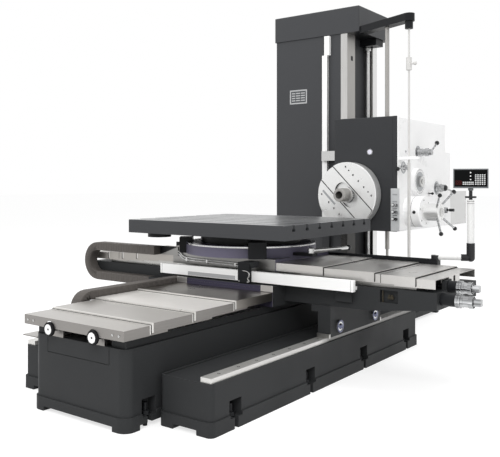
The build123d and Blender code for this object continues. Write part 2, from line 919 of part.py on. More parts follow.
# Saddle: a body on the bed ways with two long wings across them
with BuildPart() as saddle:
    with BuildSketch(Plane.XZ):
        with BuildLine():
            Polyline(
                (-wing_reach, wing_top),
                (-wing_reach, wing_end_bottom),
                (-wing_keel_reach, wing_bottom),
                (wing_keel_reach, wing_bottom),
                (wing_reach, wing_end_bottom),
                (wing_reach, wing_top),
                close=True,
            )
        make_face()
    extrude(amount=wing_half, both=True)
    block(-saddle_half, saddle_half, -saddle_half_length, saddle_half_length, saddle_bottom, saddle_deck)
    tongue_edge = bed_way_inner - slide_gap
    block(tongue_edge - saddle_tongue, tongue_edge, -saddle_half_length, saddle_half_length,
          saddle_bottom - saddle_tongue_drop, saddle_bottom)
    for side in (-1, 1):
        for x0, x1 in wing_cells:
            for y_side in (-1, 1):
                cell = (y_side * wing_cell_spine / 2, y_side * wing_cell_half)
                block(side * x0, side * x1, *cell, wing_bottom, wing_top - wing_skin, Mode.SUBTRACT)
    x0, x1, z0, z1 = front_box
    block(x0, x1, -wing_half - front_box_depth, -wing_half, z0, z1)
    x0, x1, z0, z1 = front_pocket
    block(x0, x1, -wing_half, -wing_half + front_pocket_depth, z0, z1, Mode.SUBTRACT)
    case_y = upper_shaft[0]
    case_start = wing_reach - gear_case_depth
    case_sides = (case_y - gear_case_half, case_y + gear_case_half)
    block(case_start, wing_reach, *case_sides, wing_top, wing_top + gear_case_height)
    foot_front = cross_chain_back - cross_chain_width
    foot_top = cross_chain_bottom + cross_chain_run
    foot_end = cross_chain_fixed + chain_foot_length
    block(cross_chain_fixed, foot_end, foot_front, -wing_half, cross_chain_bottom, foot_top)
    for y, z in (lower_shaft, upper_shaft):
        bearing_end = (wing_reach - shaft_stub_length - face_gap, y, z)
        bar((wing_reach, y, z), bearing_end, shaft_stub_radius + run_gap, Mode.SUBTRACT)
keep("saddle", saddle.part)

# Legs under the wings, with rooms for the rollers
with BuildPart() as saddle_legs:
    for side in (-1, 1):
        block(side * leg_inner, side * leg_outer, -leg_half_length, leg_half_length, leg_bottom, wing_bottom)
        haunch = (side * (leg_inner - haunch_reach), side * leg_inner)
        block(*haunch, -leg_half_length, leg_half_length, wing_bottom - haunch_height, wing_bottom)
        room_half = roller_radius + roller_room
        room_sides = (side * (leg_inner + leg_wall), side * (leg_outer - leg_wall))
        for row in (-roller_spacing / 2, roller_spacing / 2):
            room_top = roller_centre + room_half
            block(*room_sides, row - room_half, row + room_half, leg_bottom, room_top, Mode.SUBTRACT)
            bore_start = (side * leg_inner, row, roller_centre)
            bore_end = (side * leg_outer, row, roller_centre)
            bar(bore_start, bore_end, axle_radius + run_gap, Mode.SUBTRACT)
keep("saddle_legs", saddle_legs.part)

# Wipers: strips at the feet of the legs and frames round the covers at both ends of the saddle
with BuildPart() as saddle_wipers:
    for end in (-1, 1):
        foot = (end * leg_half_length, end * (leg_half_length + wiper_thickness))
        for side in (-1, 1):
            wiper_bottom = leg_bottom - wiper_drop
            block(side * leg_inner, side * leg_outer, *foot, wiper_bottom, wiper_bottom + wiper_height)
        frame_span = (end * saddle_half_length, end * frame_front)
        frame_half = saddle_half + frame_proud
        block(-frame_half, frame_half, *frame_span, frame_top - frame_width, frame_top)
        for side in (-1, 1):
            upright = (side * (frame_half - frame_width), side * frame_half)
            block(*upright, *frame_span, frame_bottom, frame_top - frame_width)
keep("saddle_wipers", saddle_wipers.part)


def cross_fixed(end, length):
    """Fixed cover section at the end of a wing, on two posts."""
    inward = -1 if end > 0 else 1
    with BuildPart() as fixed:
        add(cross_section(end, end + inward * length, 0))
        cover_posts(
            "X", end, inward, cross_post_inner, cross_post_width, cross_post_inset, cross_post_length,
            wing_top, cross_cover_top - cover_sheet,
        )
    return fixed.part


# Cover sections that the saddle carries: the last ones over the bed, and the fixed ones on its wings
with BuildPart() as saddle_covers:
    add(bed_section(front_cover_starts[3], -frame_front, 3))
    add(bed_section(rear_cover_ends[2], frame_front, 2))
    add(cross_fixed(right_cover_ends[0], right_cover_lengths[0]))
    add(cross_fixed(left_cover_ends[0], left_cover_length))
keep("saddle_covers", saddle_covers.part)

# Sliding cover sections on the wings
for number in (2, 3):
    right_end = right_cover_ends[number - 1]
    left_end = left_cover_ends[number - 1]
    right_section = cross_section(right_end, right_end - right_cover_lengths[number - 1], number - 1)
    left_section = cross_section(left_end, left_end + left_cover_length, number - 1)
    keep(f"right_cover_{number}", right_section)
    keep(f"left_cover_{number}", left_section)

# Ways along the wings
with BuildPart() as cross_guideways:
    for side in (-1, 1):
        way = (side * cross_way_inner, side * (cross_way_inner + cross_way_width))
        block(-cross_way_reach, cross_way_reach, *way, wing_top, cross_guide_top)
keep("cross_guideways", cross_guideways.part)

# Scale bar in front of the wings, on four feet
with BuildPart() as cross_scale:
    cross_scale_top = cross_scale_bottom + cross_scale_height
    scale_face = cross_scale_back - cross_scale_depth
    scale_ends = (cross_scale_left, cross_scale_right)
    block(*scale_ends, scale_face, cross_scale_back, cross_scale_bottom, cross_scale_top)
    for x in scale_foot_places:
        foot_sides = (x - scale_foot_width / 2, x + scale_foot_width / 2)
        foot_top = scale_foot_bottom + scale_foot_height
        block(*foot_sides, cross_scale_back, -wing_half, scale_foot_bottom, foot_top)
keep("cross_scale", cross_scale.part)

# Cable tray behind the wings, with the socket of the display arm
with BuildPart() as rear_cable_tray:
    web = wing_half + tray_back_gap
    tray_top_edge = tray_bottom + tray_height
    block(-tray_half_length, tray_half_length, web, web + tray_sheet, tray_bottom, tray_top_edge)
    for x in tray_foot_rows:
        tray_foot = (x - tray_foot_length / 2, x + tray_foot_length / 2)
        block(*tray_foot, wing_half, web, tray_bottom, tray_bottom + tray_foot_height)
    knuckle_sides = (knuckle_x - knuckle_half, knuckle_x + knuckle_half)
    knuckle_rear = knuckle_y + knuckle_half
    knuckle_top = tray_top_edge - knuckle_drop
    block(*knuckle_sides, web + tray_sheet, knuckle_rear, knuckle_top - knuckle_height, knuckle_top)
    pin_foot = (knuckle_x, knuckle_y, knuckle_top - knuckle_height)
    pin_head = (knuckle_x, knuckle_y, knuckle_top)
    bar(pin_foot, pin_head, knuckle_pin_radius + run_gap, Mode.SUBTRACT)
keep("rear_cable_tray", rear_cable_tray.part)


def roller_pair(row):
    """Left and right roller of one axle line, each with its axle and cap."""
    with BuildPart() as pair:
        for side in (-1, 1):
            wheel_start = (side * (leg_middle - roller_width / 2), row, roller_centre)
            wheel_end = (side * (leg_middle + roller_width / 2), row, roller_centre)
            bar(wheel_start, wheel_end, roller_radius)
            cap_start = (side * (leg_outer + face_gap), row, roller_centre)
            cap_end = (side * (leg_outer + axle_cap_thickness), row, roller_centre)
            bar((side * leg_inner, row, roller_centre), cap_end, axle_radius)
            bar(cap_start, cap_end, axle_cap_radius)
    return pair.part


keep("front_rollers", roller_pair(-roller_spacing / 2))
keep("rear_rollers", roller_pair(roller_spacing / 2))


def hand_shaft(place, sleeve, length):
    """Shaft end with a graduated sleeve, a bright collar and a square for the crank."""
    y, z = place
    start = wing_reach + face_gap
    with BuildPart() as shaft:
        bar((wing_reach - shaft_stub_length, y, z), (start, y, z), shaft_stub_radius)
        bar((start, y, z), (wing_reach + sleeve, y, z), shaft_sleeve_radius)
        collar_end = wing_reach + length - shaft_square_length
        bar((wing_reach + sleeve, y, z), (collar_end, y, z), shaft_collar_radius)
        half = shaft_square / 2
        block(collar_end, wing_reach + length, y - half, y + half, z - half, z + half)
    return shaft.part


keep("crank_lower", hand_shaft(lower_shaft, lower_shaft_sleeve, lower_shaft_length))
keep("crank_upper", hand_shaft(upper_shaft, upper_shaft_sleeve, upper_shaft_length))

# Swinging arm of the display
arm_base = knuckle_top + face_gap
arm_line = arm_base + arm_line_rise
arm_pivot = (knuckle_x, knuckle_y, arm_base)
elbow = (*arm_end, arm_line)
display_run = hypot(arm_end[0] - knuckle_x, arm_end[1] - knuckle_y)
socket_share = arm_socket_length / display_run
socket_end = (
    arm_end[0] + (knuckle_x - arm_end[0]) * socket_share,
    arm_end[1] + (knuckle_y - arm_end[1]) * socket_share,
    arm_line,
)
with BuildPart() as dro_arm:
    bar((knuckle_x, knuckle_y, arm_base - knuckle_height), arm_pivot, knuckle_pin_radius)
    bar(arm_pivot, (knuckle_x, knuckle_y, arm_base + arm_collar_height), arm_collar_radius)
    bar((knuckle_x, knuckle_y, arm_line), elbow, arm_tube_radius)
    bar(socket_end, elbow, arm_socket_radius)
    ball(elbow, arm_elbow_radius)
    bar(elbow, (*arm_end, arm_sleeve_top), arm_sleeve_radius)
    bar(elbow, (*arm_end, arm_post_top), arm_post_radius)
    stem_top = display_bottom - display_pad_height - face_gap
    bar((*arm_end, arm_post_top), (*arm_end, stem_top), arm_stem_radius)
    disc_bottom = arm_post_top + swivel_disc_rise
    bar((*arm_end, disc_bottom), (*arm_end, disc_bottom + swivel_disc_height), swivel_disc_radius)
keep("dro_arm", dro_arm.part)

# Display of the position readout, turned towards the operator
display_across = (cos(radians(display_turn)), sin(radians(display_turn)), 0)
display_plane = Plane(origin=(*arm_end, display_bottom), x_dir=display_across, z_dir=(0, 0, 1))
with BuildPart() as dro_head:
    with BuildSketch(display_plane):
        Rectangle(display_width, display_depth)
    extrude(amount=display_height)
    fillet(dro_head.edges().filter_by(Axis.Z), radius=display_edge)
    with Locations((*arm_end, display_bottom - display_pad_height)):
        Cylinder(display_pad_radius, display_pad_height, align=LOW)
keep("dro_head", dro_head.part)

# Cross slide on the wings
with BuildPart() as cross_slide:
    block(slide_left, slide_right, -slide_half, slide_half, slide_bottom, slide_top)
    slide_tongue_edge = cross_way_inner - slide_gap
    block(slide_left, slide_right, slide_tongue_edge - slide_tongue, slide_tongue_edge,
          slide_bottom - slide_tongue_drop, slide_bottom)
    plate_front_face = -slide_half - chain_plate_thickness
    plate_top = cross_chain_bottom + cross_chain_height
    plate_ends = (cross_chain_moving, chain_plate_right)
    block(*plate_ends, plate_front_face, -slide_half, plate_top - cross_chain_run, plate_top)
keep("cross_slide", cross_slide.part)

# Turntable base: a round bed for the table, with clamp blocks and the bracket of the clamp lever
with BuildPart() as turntable_base:
    with Locations((table_x, 0, slide_top)):
        Cylinder(ring_radius, ring_height, align=LOW)
    lever_bracket = (lever_y - lever_bracket_half, lever_y + lever_bracket_half)
    lever_seat = lever_bracket_bottom + lever_bracket_height
    block(lever_bracket_left, lever_x + lever_bracket_half, *lever_bracket, lever_bracket_bottom, lever_seat)
    bar((lever_x, lever_y, lever_seat), (lever_x, lever_y, lever_seat + lever_pin_height), lever_pin_radius)
    for angle in clamp_block_angles:
        spot = Plane((table_x, 0, slide_top)).rotated((0, 0, angle))
        with Locations(spot.location * Location((ring_radius, 0, 0))):
            Box(clamp_block_depth, clamp_block_width, clamp_block_height, align=LOW)
keep("turntable_base", turntable_base.part)

# Cover sections that the cross slide carries
with BuildPart() as slide_covers:
    add(cross_section(slide_right_cover_end, slide_right, 3))
    add(cross_section(slide_left_cover_end, slide_left, 3))
keep("slide_covers", slide_covers.part)

# Reader head in front of the cross scale, on a bracket from the cross slide
with BuildPart() as scale_reader:
    reader_back = cross_scale_back - cross_scale_depth - reader_gap
    reader_sides = (reader_left, reader_left + reader_width)
    block(*reader_sides, reader_back - reader_thickness, reader_back, reader_bottom, reader_top)
    block(*reader_sides, reader_back, -slide_half, reader_top - reader_bracket_height, reader_top)
keep("scale_reader", scale_reader.part)

# Cable chain of the cross slide, from a foot on the wing to a plate on the slide
cross_chain_plane = Plane.XZ.offset(-cross_chain_back)
cross_chain = chain_loop(
    cross_chain_plane,
    cross_chain_bend,
    cross_chain_fixed,
    cross_chain_moving,
    cross_chain_bottom,
    cross_chain_height,
    cross_chain_run,
    cross_chain_width,
)
keep("cross_cable_chain", cross_chain)

# Clamp lever of the table
with BuildPart() as table_clamp_lever:
    hub_bottom = lever_seat + face_gap
    bar((lever_x, lever_y, hub_bottom), (lever_x, lever_y, hub_bottom + lever_hub_height), lever_hub_radius)
    rod_start = (lever_x, lever_y, hub_bottom + lever_hub_height / 2)
    bar(rod_start, lever_rod_end, lever_rod_radius)
    ball(lever_rod_end, lever_knob_radius)
    bore_top = (lever_x, lever_y, hub_bottom + lever_hub_height + 1)
    bar((lever_x, lever_y, lever_seat), bore_top, lever_pin_radius + run_gap, Mode.SUBTRACT)
keep("table_clamp_lever", table_clamp_lever.part)

# Rotary table: a plate with T-slots on a round hub, and a round boss under one corner
with BuildPart() as rotary_table:
    with Locations((table_x, 0, table_bottom)):
        Box(table_length, table_width, table_thickness, align=LOW)
    fillet(rotary_table.edges().filter_by(Axis.Z), radius=table_edge)
    chamfer(rotary_table.faces().sort_by(Axis.Z)[-1].edges(), length=table_edge / 2)
    with Locations((table_x, 0, ring_top + slide_gap)):
        Cylinder(hub_radius, table_bottom - ring_top - slide_gap, align=LOW)
    with Locations((*boss_spot, table_bottom - boss_height)):
        Cylinder(boss_radius, boss_height, align=LOW)
    neck_bottom = table_top - slot_neck_depth
    with Locations((table_x, 0, neck_bottom)):
        with GridLocations(0, slot_pitch, 1, slot_count):
            Box(table_length, slot_neck, slot_neck_depth, align=LOW, mode=Mode.SUBTRACT)
    with Locations((table_x, 0, neck_bottom - slot_foot_depth)):
        with GridLocations(0, slot_pitch, 1, slot_count):
            Box(table_length, slot_foot, slot_foot_depth, align=LOW, mode=Mode.SUBTRACT)
keep("rotary_table", rotary_table.part)

# Headstock: the casting that rides on the column, with cells above the spindle and a tail tube behind
with BuildPart() as headstock:
    block(head_left, head_right, head_front, head_rear, head_bottom, head_top)
    fillet(headstock.faces().sort_by(Axis.Y)[0].edges(), radius=head_edge)
    block(head_left - head_lip, head_left, head_front + head_edge, head_lip_rear, head_bottom, head_top)
    cell_length = (head_rear - head_front - (head_cells + 1) * head_wall) / head_cells
    for number in range(head_cells):
        cell_front = head_front + head_wall + number * (cell_length + head_wall)
        block(head_left + head_wall, head_right, cell_front, cell_front + cell_length,
              head_cell_bottom, head_top - head_wall, Mode.SUBTRACT)
    tongue_front = column_front + front_way_width + slide_gap
    block(tongue_left, head_left, tongue_front, tongue_front + tongue_length,
          tongue_bottom, tongue_bottom + tongue_height)
    nut_rear = column_rear - rear_way_width - slide_gap
    block(nut_left, head_left, nut_front, nut_rear, nut_bottom, nut_bottom + nut_length)
    nut_bore = ((screw_x, screw_y, nut_bottom), (screw_x, screw_y, nut_bottom + nut_length))
    bar(*nut_bore, screw_radius + nut_gap, Mode.SUBTRACT)
    bar((0, head_rear, spindle_height), (0, tail_rear, spindle_height), tail_radius)
    sleeve_stop = sleeve_rear + face_gap
    sleeve_end = (0, sleeve_stop, spindle_height)
    bar((0, head_front, spindle_height), sleeve_end, sleeve_radius + run_gap, Mode.SUBTRACT)
    bore_end = (0, tail_rear - tail_wall, spindle_height)
    bar(sleeve_end, bore_end, spindle_radius + face_gap, Mode.SUBTRACT)
    bar((feed_x, feed_y, head_bottom), (feed_x, feed_y, head_top), feed_radius + face_gap, Mode.SUBTRACT)
    head_reader = (head_reader_front, head_reader_front + head_reader_depth)
    block(head_reader_left, head_left - head_lip, *head_reader,
          head_reader_bottom, head_reader_bottom + head_reader_height)
keep("headstock", headstock.part)

# Side housing: the gear cover on the operator side, its rear case, the tail box and the arm of the limit rod
with BuildPart() as side_housing:
    block(head_right, housing_face, head_front, head_rear, head_bottom, head_top)
    block(housing_inner, housing_face, head_rear, housing_rear, head_bottom, housing_rear_top)
    block(tail_box_inner, housing_face, housing_rear, tail_box_rear, tail_box_bottom, tail_box_top)
    fillet(side_housing.faces().sort_by(Axis.X)[-1].edges(), radius=housing_edge)
    trip_arm = (trip_arm_front, trip_arm_front + trip_arm_depth)
    trip_arm_end = housing_face + trip_arm_reach
    block(head_right, trip_arm_end, *trip_arm, trip_arm_bottom, trip_arm_bottom + trip_arm_height)
with BuildPart() as feed_drum:
    drum_end = housing_face + drum_length
    bar((housing_face, drum_y, drum_z), (drum_end, drum_y, drum_z), drum_radius)
    fillet(feed_drum.edges().sort_by(Axis.X)[-1], radius=drum_edge)
keep("side_housing", side_housing.part, feed_drum.part)

# Faceplate with its hollow spindle and the channel of the facing slide
facing_plane = Plane(origin=(0, plate_front, spindle_height), x_dir=(1, 0, -1), z_dir=(0, -1, 0))
with BuildPart() as faceplate:
    bar((0, plate_front, spindle_height), (0, plate_rear, spindle_height), plate_radius)
    chamfer(faceplate.edges().filter_by(GeomType.CIRCLE), length=plate_edge)
    with BuildSketch(facing_plane):
        Rectangle(2 * plate_radius, band_width + 2 * band_gap)
    extrude(amount=-band_depth - band_gap, mode=Mode.SUBTRACT)
    with BuildSketch(facing_plane):
        Rectangle(2 * plate_radius, band_width + 2 * band_groove)
    extrude(amount=-band_groove, mode=Mode.SUBTRACT)
    with Locations(facing_plane.location):
        for row in (-plate_hole_offset, plate_hole_offset):
            with Locations([(place, row) for place in plate_hole_places]):
                Hole(plate_hole_radius, plate_hole_depth)
    nose = plate_front - sleeve_nose_proud
    bar((0, nose, spindle_height), (0, plate_rear, spindle_height), sleeve_nose_radius)
    bar((0, plate_rear, spindle_height), (0, sleeve_rear, spindle_height), sleeve_radius)
    bar((0, nose, spindle_height), (0, sleeve_rear, spindle_height), spindle_radius + run_gap, Mode.SUBTRACT)
keep("faceplate", faceplate.part)

# Facing slide that moves across the faceplate
with BuildPart() as facing_slide:
    with BuildSketch(facing_plane) as band:
        Circle(plate_radius - plate_edge)
        Rectangle(2 * plate_radius, band_width, mode=Mode.INTERSECT)
        slot_radius = sleeve_nose_radius + band_slot_gap
        SlotCenterToCenter(2 * band_travel, 2 * slot_radius, mode=Mode.SUBTRACT)
    extrude(amount=-band_depth)
    with BuildSketch(facing_plane):
        for side in (-1, 1):
            with Locations((0, side * band_width / 2)):
                Rectangle(2 * plate_radius, 2 * band_groove)
    extrude(amount=-band_groove, mode=Mode.SUBTRACT)
keep("facing_slide", facing_slide.part)

# Boring spindle: a hardened nose with a taper through it, and the bar behind
taper_end = spindle_nose + taper_depth
with BuildPart() as taper_nose:
    bar((0, spindle_nose, spindle_height), (0, taper_end, spindle_height), spindle_radius)
    chamfer(taper_nose.edges().group_by(Axis.Y)[0], length=plate_edge)
    with Locations(Plane(origin=(0, spindle_nose, spindle_height), z_dir=(0, 1, 0)).location):
        Cone(taper_mouth_radius, taper_end_radius, taper_depth, align=LOW, mode=Mode.SUBTRACT)
with BuildPart() as spindle_bar:
    spindle_rear = spindle_nose + spindle_length
    bar((0, taper_end, spindle_height), (0, spindle_rear, spindle_height), spindle_radius)
keep("boring_spindle", taper_nose.part, spindle_bar.part)

# Capstan of the feed, with four ball-ended spokes
with BuildPart() as capstan:
    hub_start = drum_end + face_gap
    hub_end = drum_end + capstan_hub_length
    bar((hub_start, drum_y, drum_z), (hub_end, drum_y, drum_z), capstan_hub_radius)
    fillet(capstan.edges().sort_by(Axis.X)[-1], radius=capstan_hub_edge)
    spoke_root = hub_end - capstan_spoke_lean / 2
    for number in range(capstan_spokes):
        angle = radians(capstan_first_angle + number * 360 / capstan_spokes)
        tip = (
            spoke_root + capstan_spoke_lean,
            drum_y + capstan_spoke_length * cos(angle),
            drum_z + capstan_spoke_length * sin(angle),
        )
        bar((spoke_root, drum_y, drum_z), tip, capstan_spoke_radius)
        ball(tip, capstan_ball_radius)
keep("capstan", capstan.part)

# Feed dial
with BuildPart() as dial:
    dial_start = housing_face + face_gap
    dial_end = housing_face + dial_thickness
    bar((dial_start, dial_y, dial_z), (dial_end, dial_y, dial_z), dial_radius)
    bar((dial_end, dial_y, dial_z), (dial_end + dial_hub_length, dial_y, dial_z), dial_hub_radius)
keep("dial", dial.part)


def ball_lever(hub, ball_centre, radius, length, ball_radius):
    """Shift lever: a hub on the side housing and an arm with a ball."""
    y, z = hub
    start = housing_face + face_gap
    end = housing_face + length
    with BuildPart() as lever:
        bar((start, y, z), (end, y, z), radius)
        bar((end - lever_arm_radius - 2, y, z), ball_centre, lever_arm_radius)
        ball(ball_centre, ball_radius)
    return lever.part


keep("lever_1", ball_lever(lever_1_hub, lever_1_ball, lever_1_radius, lever_1_length, lever_1_ball_radius))
keep("lever_2", ball_lever(lever_2_hub, lever_2_ball, lever_2_radius, lever_2_length, lever_2_ball_radius))
keep("lever_3", ball_lever(lever_3_hub, lever_3_ball, lever_3_radius, lever_3_length, lever_3_ball_radius))

# Small hand crank
with BuildPart() as hand_crank:
    crank_y, crank_z = crank_hub
    crank_end = housing_face + crank_length
    bar((housing_face + face_gap, crank_y, crank_z), (crank_end, crank_y, crank_z), crank_radius)
    grip_y = crank_y + crank_throw
    web_x = crank_end - lever_arm_radius
    bar((web_x, crank_y, crank_z), (web_x, grip_y, crank_z), lever_arm_radius)
    bar((web_x, grip_y, crank_z), (web_x + crank_grip_length, grip_y, crank_z), crank_grip_radius)
keep("hand_crank", hand_crank.part)

# Switch panel with three lamps
with BuildPart() as switch_panel:
    panel_face = head_front - panel_thickness
    block(panel_left, panel_right, panel_face, head_front, panel_bottom, panel_top)
    for z in panel_rows:
        bar((lamp_x, panel_face, z), (lamp_x, panel_face - lamp_height, z), lamp_radius)
keep("switch_panel", switch_panel.part)

# Three selector switches
for number, z in enumerate(panel_rows, start=1):
    with BuildPart() as selector:
        selector_start = panel_face - face_gap
        selector_end = selector_start - selector_height
        bar((selector_x, selector_start, z), (selector_x, selector_end, z), selector_radius)
        grip = (selector_x - selector_grip / 2, selector_x + selector_grip / 2)
        grip_rows = (z - selector_radius, z + selector_radius)
        block(*grip, selector_end - selector_grip_height, selector_end, *grip_rows)
    keep(f"selector_{number}", selector.part)
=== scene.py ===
"""Looks of a horizontal boring machine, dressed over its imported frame.

Everything is in metres, in the frame's own axes: X across the bed, Y along it towards the column, Z up.
"""

import logging
import math
from contextlib import contextmanager
from dataclasses import dataclass, replace
from enum import Enum
from typing import Callable, Iterator, Sequence

import bmesh
import bpy
from mathutils import Matrix, Vector


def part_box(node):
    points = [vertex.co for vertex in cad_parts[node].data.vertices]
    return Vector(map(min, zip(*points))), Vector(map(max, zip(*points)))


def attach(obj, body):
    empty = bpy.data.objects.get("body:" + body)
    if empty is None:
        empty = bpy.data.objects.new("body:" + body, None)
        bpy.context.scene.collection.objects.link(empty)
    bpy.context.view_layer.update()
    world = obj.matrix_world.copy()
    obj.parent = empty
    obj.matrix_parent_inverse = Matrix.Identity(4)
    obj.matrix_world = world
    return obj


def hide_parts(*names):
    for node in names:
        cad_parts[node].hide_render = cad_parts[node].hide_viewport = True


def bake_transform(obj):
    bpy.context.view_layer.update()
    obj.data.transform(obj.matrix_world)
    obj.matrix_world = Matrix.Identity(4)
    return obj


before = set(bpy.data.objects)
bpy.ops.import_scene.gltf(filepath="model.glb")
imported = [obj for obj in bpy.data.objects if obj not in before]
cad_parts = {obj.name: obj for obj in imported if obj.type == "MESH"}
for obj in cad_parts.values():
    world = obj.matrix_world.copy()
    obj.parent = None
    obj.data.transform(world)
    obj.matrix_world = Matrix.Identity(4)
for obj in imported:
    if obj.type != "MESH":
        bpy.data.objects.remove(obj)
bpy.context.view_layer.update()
SMOOTH_ANGLE = math.radians(32)
MERGE_GAP = 1e-6
ROD_SIDES = 24
TUBE_ORDER, TUBE_STEPS, TUBE_ROUND = 3, 6, 3
ORIGIN = (0.0, 0.0, 0.0)
# Shares of a normal along an axis: a face is square to it above the first, faces its way above the second,
# and is steep below the third.
SQUARE, FACING, STEEP = 0.9, 0.7, 0.5

Piece = bpy.types.Object
Tree = bpy.types.NodeTree
Socket = bpy.types.NodeSocket
Spot = Sequence[float]
Profile = Sequence[tuple[float, float]]
FaceTest = Callable[[Vector, Vector], bool]
log = logging.getLogger("boring_machine")


class Lie(Enum):
    """Directions that a piece lies along or a face looks in."""

    X = (1.0, 0.0, 0.0)
    Y = (0.0, 1.0, 0.0)
    Z = (0.0, 0.0, 1.0)
    BACK_X = (-1.0, 0.0, 0.0)
    BACK_Y = (0.0, -1.0, 0.0)

    def matrix(self) -> Matrix:
        """Gives the turn that lays a piece made along Z onto this direction."""
        return Vector((0, 0, 1)).rotation_difference(Vector(self.value)).to_matrix().to_4x4()


def alone(obj: Piece) -> Piece:
    """Selects one object, with nothing else selected, and makes it the active one.

    Args:
        obj: the object.

    Returns:
        The object.
    """
    bpy.ops.object.select_all(action="DESELECT")
    obj.select_set(True)
    bpy.context.view_layer.objects.active = obj
    return obj


def settled(name: str) -> Piece:
    """Names the active object and writes its place, turn and size into its mesh.

    Args:
        name: its new name.

    Returns:
        The object.
    """
    obj = alone(bpy.context.active_object)
    obj.name = name
    obj.data.name = name
    bpy.ops.object.transform_apply(location=True, rotation=True, scale=True)
    return obj


def block(name: str, low: Spot, high: Spot) -> Piece:
    """Starts a piece from a box.

    Args:
        name: the piece's name.
        low: one corner.
        high: the corner across from it.

    Returns:
        The box, at the origin with its place in its mesh.
    """
    a, b = Vector(low), Vector(high)
    size = Vector(abs(side) for side in b - a)
    bpy.ops.object.select_all(action="DESELECT")
    bpy.ops.mesh.primitive_cube_add(size=1, location=(a + b) / 2, scale=size)
    return settled(name)


def rod(name: str, start: Spot, end: Spot, radius: float) -> Piece:
    """Starts a piece from a round rod between two points.

    Args:
        name: the piece's name.
        start: centre of the first end.
        end: centre of the other end.
        radius: its radius.

    Returns:
        The rod.
    """
    a, b = Vector(start), Vector(end)
    bpy.ops.object.select_all(action="DESELECT")
    bpy.ops.mesh.primitive_cone_add(
        vertices=ROD_SIDES, radius1=radius, radius2=radius, depth=(b - a).length, location=(a + b) / 2,
        rotation=(b - a).to_track_quat("Z", "Y").to_euler(),
    )
    return settled(name)


@contextmanager
def editing(obj: Piece, kind: str = "FACE") -> Iterator[None]:
    """Opens a piece in edit mode with nothing selected, and closes it again.

    Args:
        obj: the piece.
        kind: what is to be selected: VERT, EDGE or FACE.

    Returns:
        A context in which the piece is open.
    """
    alone(obj)
    bpy.ops.object.mode_set(mode="EDIT")
    bpy.ops.mesh.select_mode(type=kind)
    bpy.ops.mesh.select_all(action="DESELECT")
    yield
    bpy.ops.object.mode_set(mode="OBJECT")


def sink(obj: Piece, lie: Lie, rim: float, depth: float) -> Piece:
    """Insets the largest face that looks in a direction and pushes it in.

    Args:
        obj: the piece.
        lie: the direction.
        rim: width of the rim that stays.
        depth: how far the face goes in, or out where it is negative.

    Returns:
        The piece.
    """
    wanted = Vector(lie.value)
    with editing(obj):
        mesh = bmesh.from_edit_mesh(obj.data)
        face = max((f for f in mesh.faces if f.normal.dot(wanted) > SQUARE), key=lambda f: f.calc_area())
        face.select_set(True)
        bmesh.update_edit_mesh(obj.data)
        bpy.ops.mesh.inset(thickness=rim, depth=0)
        bpy.ops.mesh.extrude_region_move(TRANSFORM_OT_translate={"value": wanted * -depth})
    return obj


def applied(obj: Piece, kind: str, **settings: object) -> Piece:
    """Adds one modifier, sets it and applies it.

    Args:
        obj: the piece.
        kind: the modifier's type.
        settings: its properties with their values.

    Returns:
        The piece.
    """
    alone(obj)
    modifier = obj.modifiers.new(kind.lower(), kind)
    for key, value in settings.items():
        setattr(modifier, key, value)
    bpy.ops.object.modifier_apply(modifier=modifier.name)
    return obj


def eased(obj: Piece, width: float, segments: int = 2) -> Piece:
    """Rounds the sharp edges of a piece."""
    return applied(obj, "BEVEL", width=width, segments=segments, limit_method="ANGLE", angle_limit=SMOOTH_ANGLE)


def drawn(profile: Profile) -> Piece:
    """Draws an outline in the plane of X and Z, point after point.

    Args:
        profile: its points, as (distance along Z, distance from Z).

    Returns:
        The outline as a chain of edges.
    """
    bpy.ops.object.select_all(action="DESELECT")
    bpy.ops.mesh.primitive_plane_add(size=1)
    obj = bpy.context.active_object
    with editing(obj, "VERT"):
        bpy.ops.mesh.select_all(action="SELECT")
        bpy.ops.mesh.merge(type="CENTER")
        last = Vector((profile[0][1], 0, profile[0][0]))
        bpy.ops.transform.translate(value=last)
        for along, radius in profile[1:]:
            here = Vector((radius, 0, along))
            bpy.ops.mesh.extrude_region_move(TRANSFORM_OT_translate={"value": here - last})
            last = here
    return obj


def turned(name: str, profile: Profile, base: Spot, lie: Lie, steps: int = 40) -> Piece:
    """Turns a piece on the lathe.

    Args:
        name: the piece's name.
        profile: points of its outline, as (distance along the axis, radius).
        base: where the axis starts.
        lie: direction of the axis.
        steps: flats round the axis.

    Returns:
        The turned piece, with its doubles merged and its faces outwards.
    """
    obj = drawn(profile)
    with editing(obj, "VERT"):
        bpy.ops.mesh.select_all(action="SELECT")
        bpy.ops.mesh.spin(steps=steps, angle=2 * math.pi, center=ORIGIN, axis=Lie.Z.value)
        bpy.ops.mesh.select_all(action="SELECT")
        bpy.ops.mesh.remove_doubles(threshold=MERGE_GAP)
        bpy.ops.mesh.normals_make_consistent(inside=False)
    obj.data.transform(Matrix.Translation(base) @ lie.matrix())
    return settled(name)


def tube(name: str, points: Sequence[Spot], radius: float) -> Piece:
    """Bends a rigid pipe along a smooth line.

    Args:
        name: the piece's name.
        points: control points of the line.
        radius: outer radius.

    Returns:
        The pipe as a closed mesh.
    """
    bpy.ops.object.select_all(action="DESELECT")
    bpy.ops.curve.primitive_nurbs_path_add()
    obj = bpy.context.active_object
    line = obj.data
    line.splines.clear()
    spline = line.splines.new("NURBS")
    spline.points.add(len(points) - 1)
    for point, spot in zip(spline.points, points):
        point.co = (*spot, 1)
    spline.order_u = TUBE_ORDER
    spline.use_endpoint_u = True
    spline.resolution_u = TUBE_STEPS
    line.dimensions = "3D"
    line.bevel_depth = radius
    line.bevel_resolution = TUBE_ROUND
    line.use_fill_caps = True
    obj.location = ORIGIN
    bpy.ops.object.convert(target="MESH")
    return settled(name)


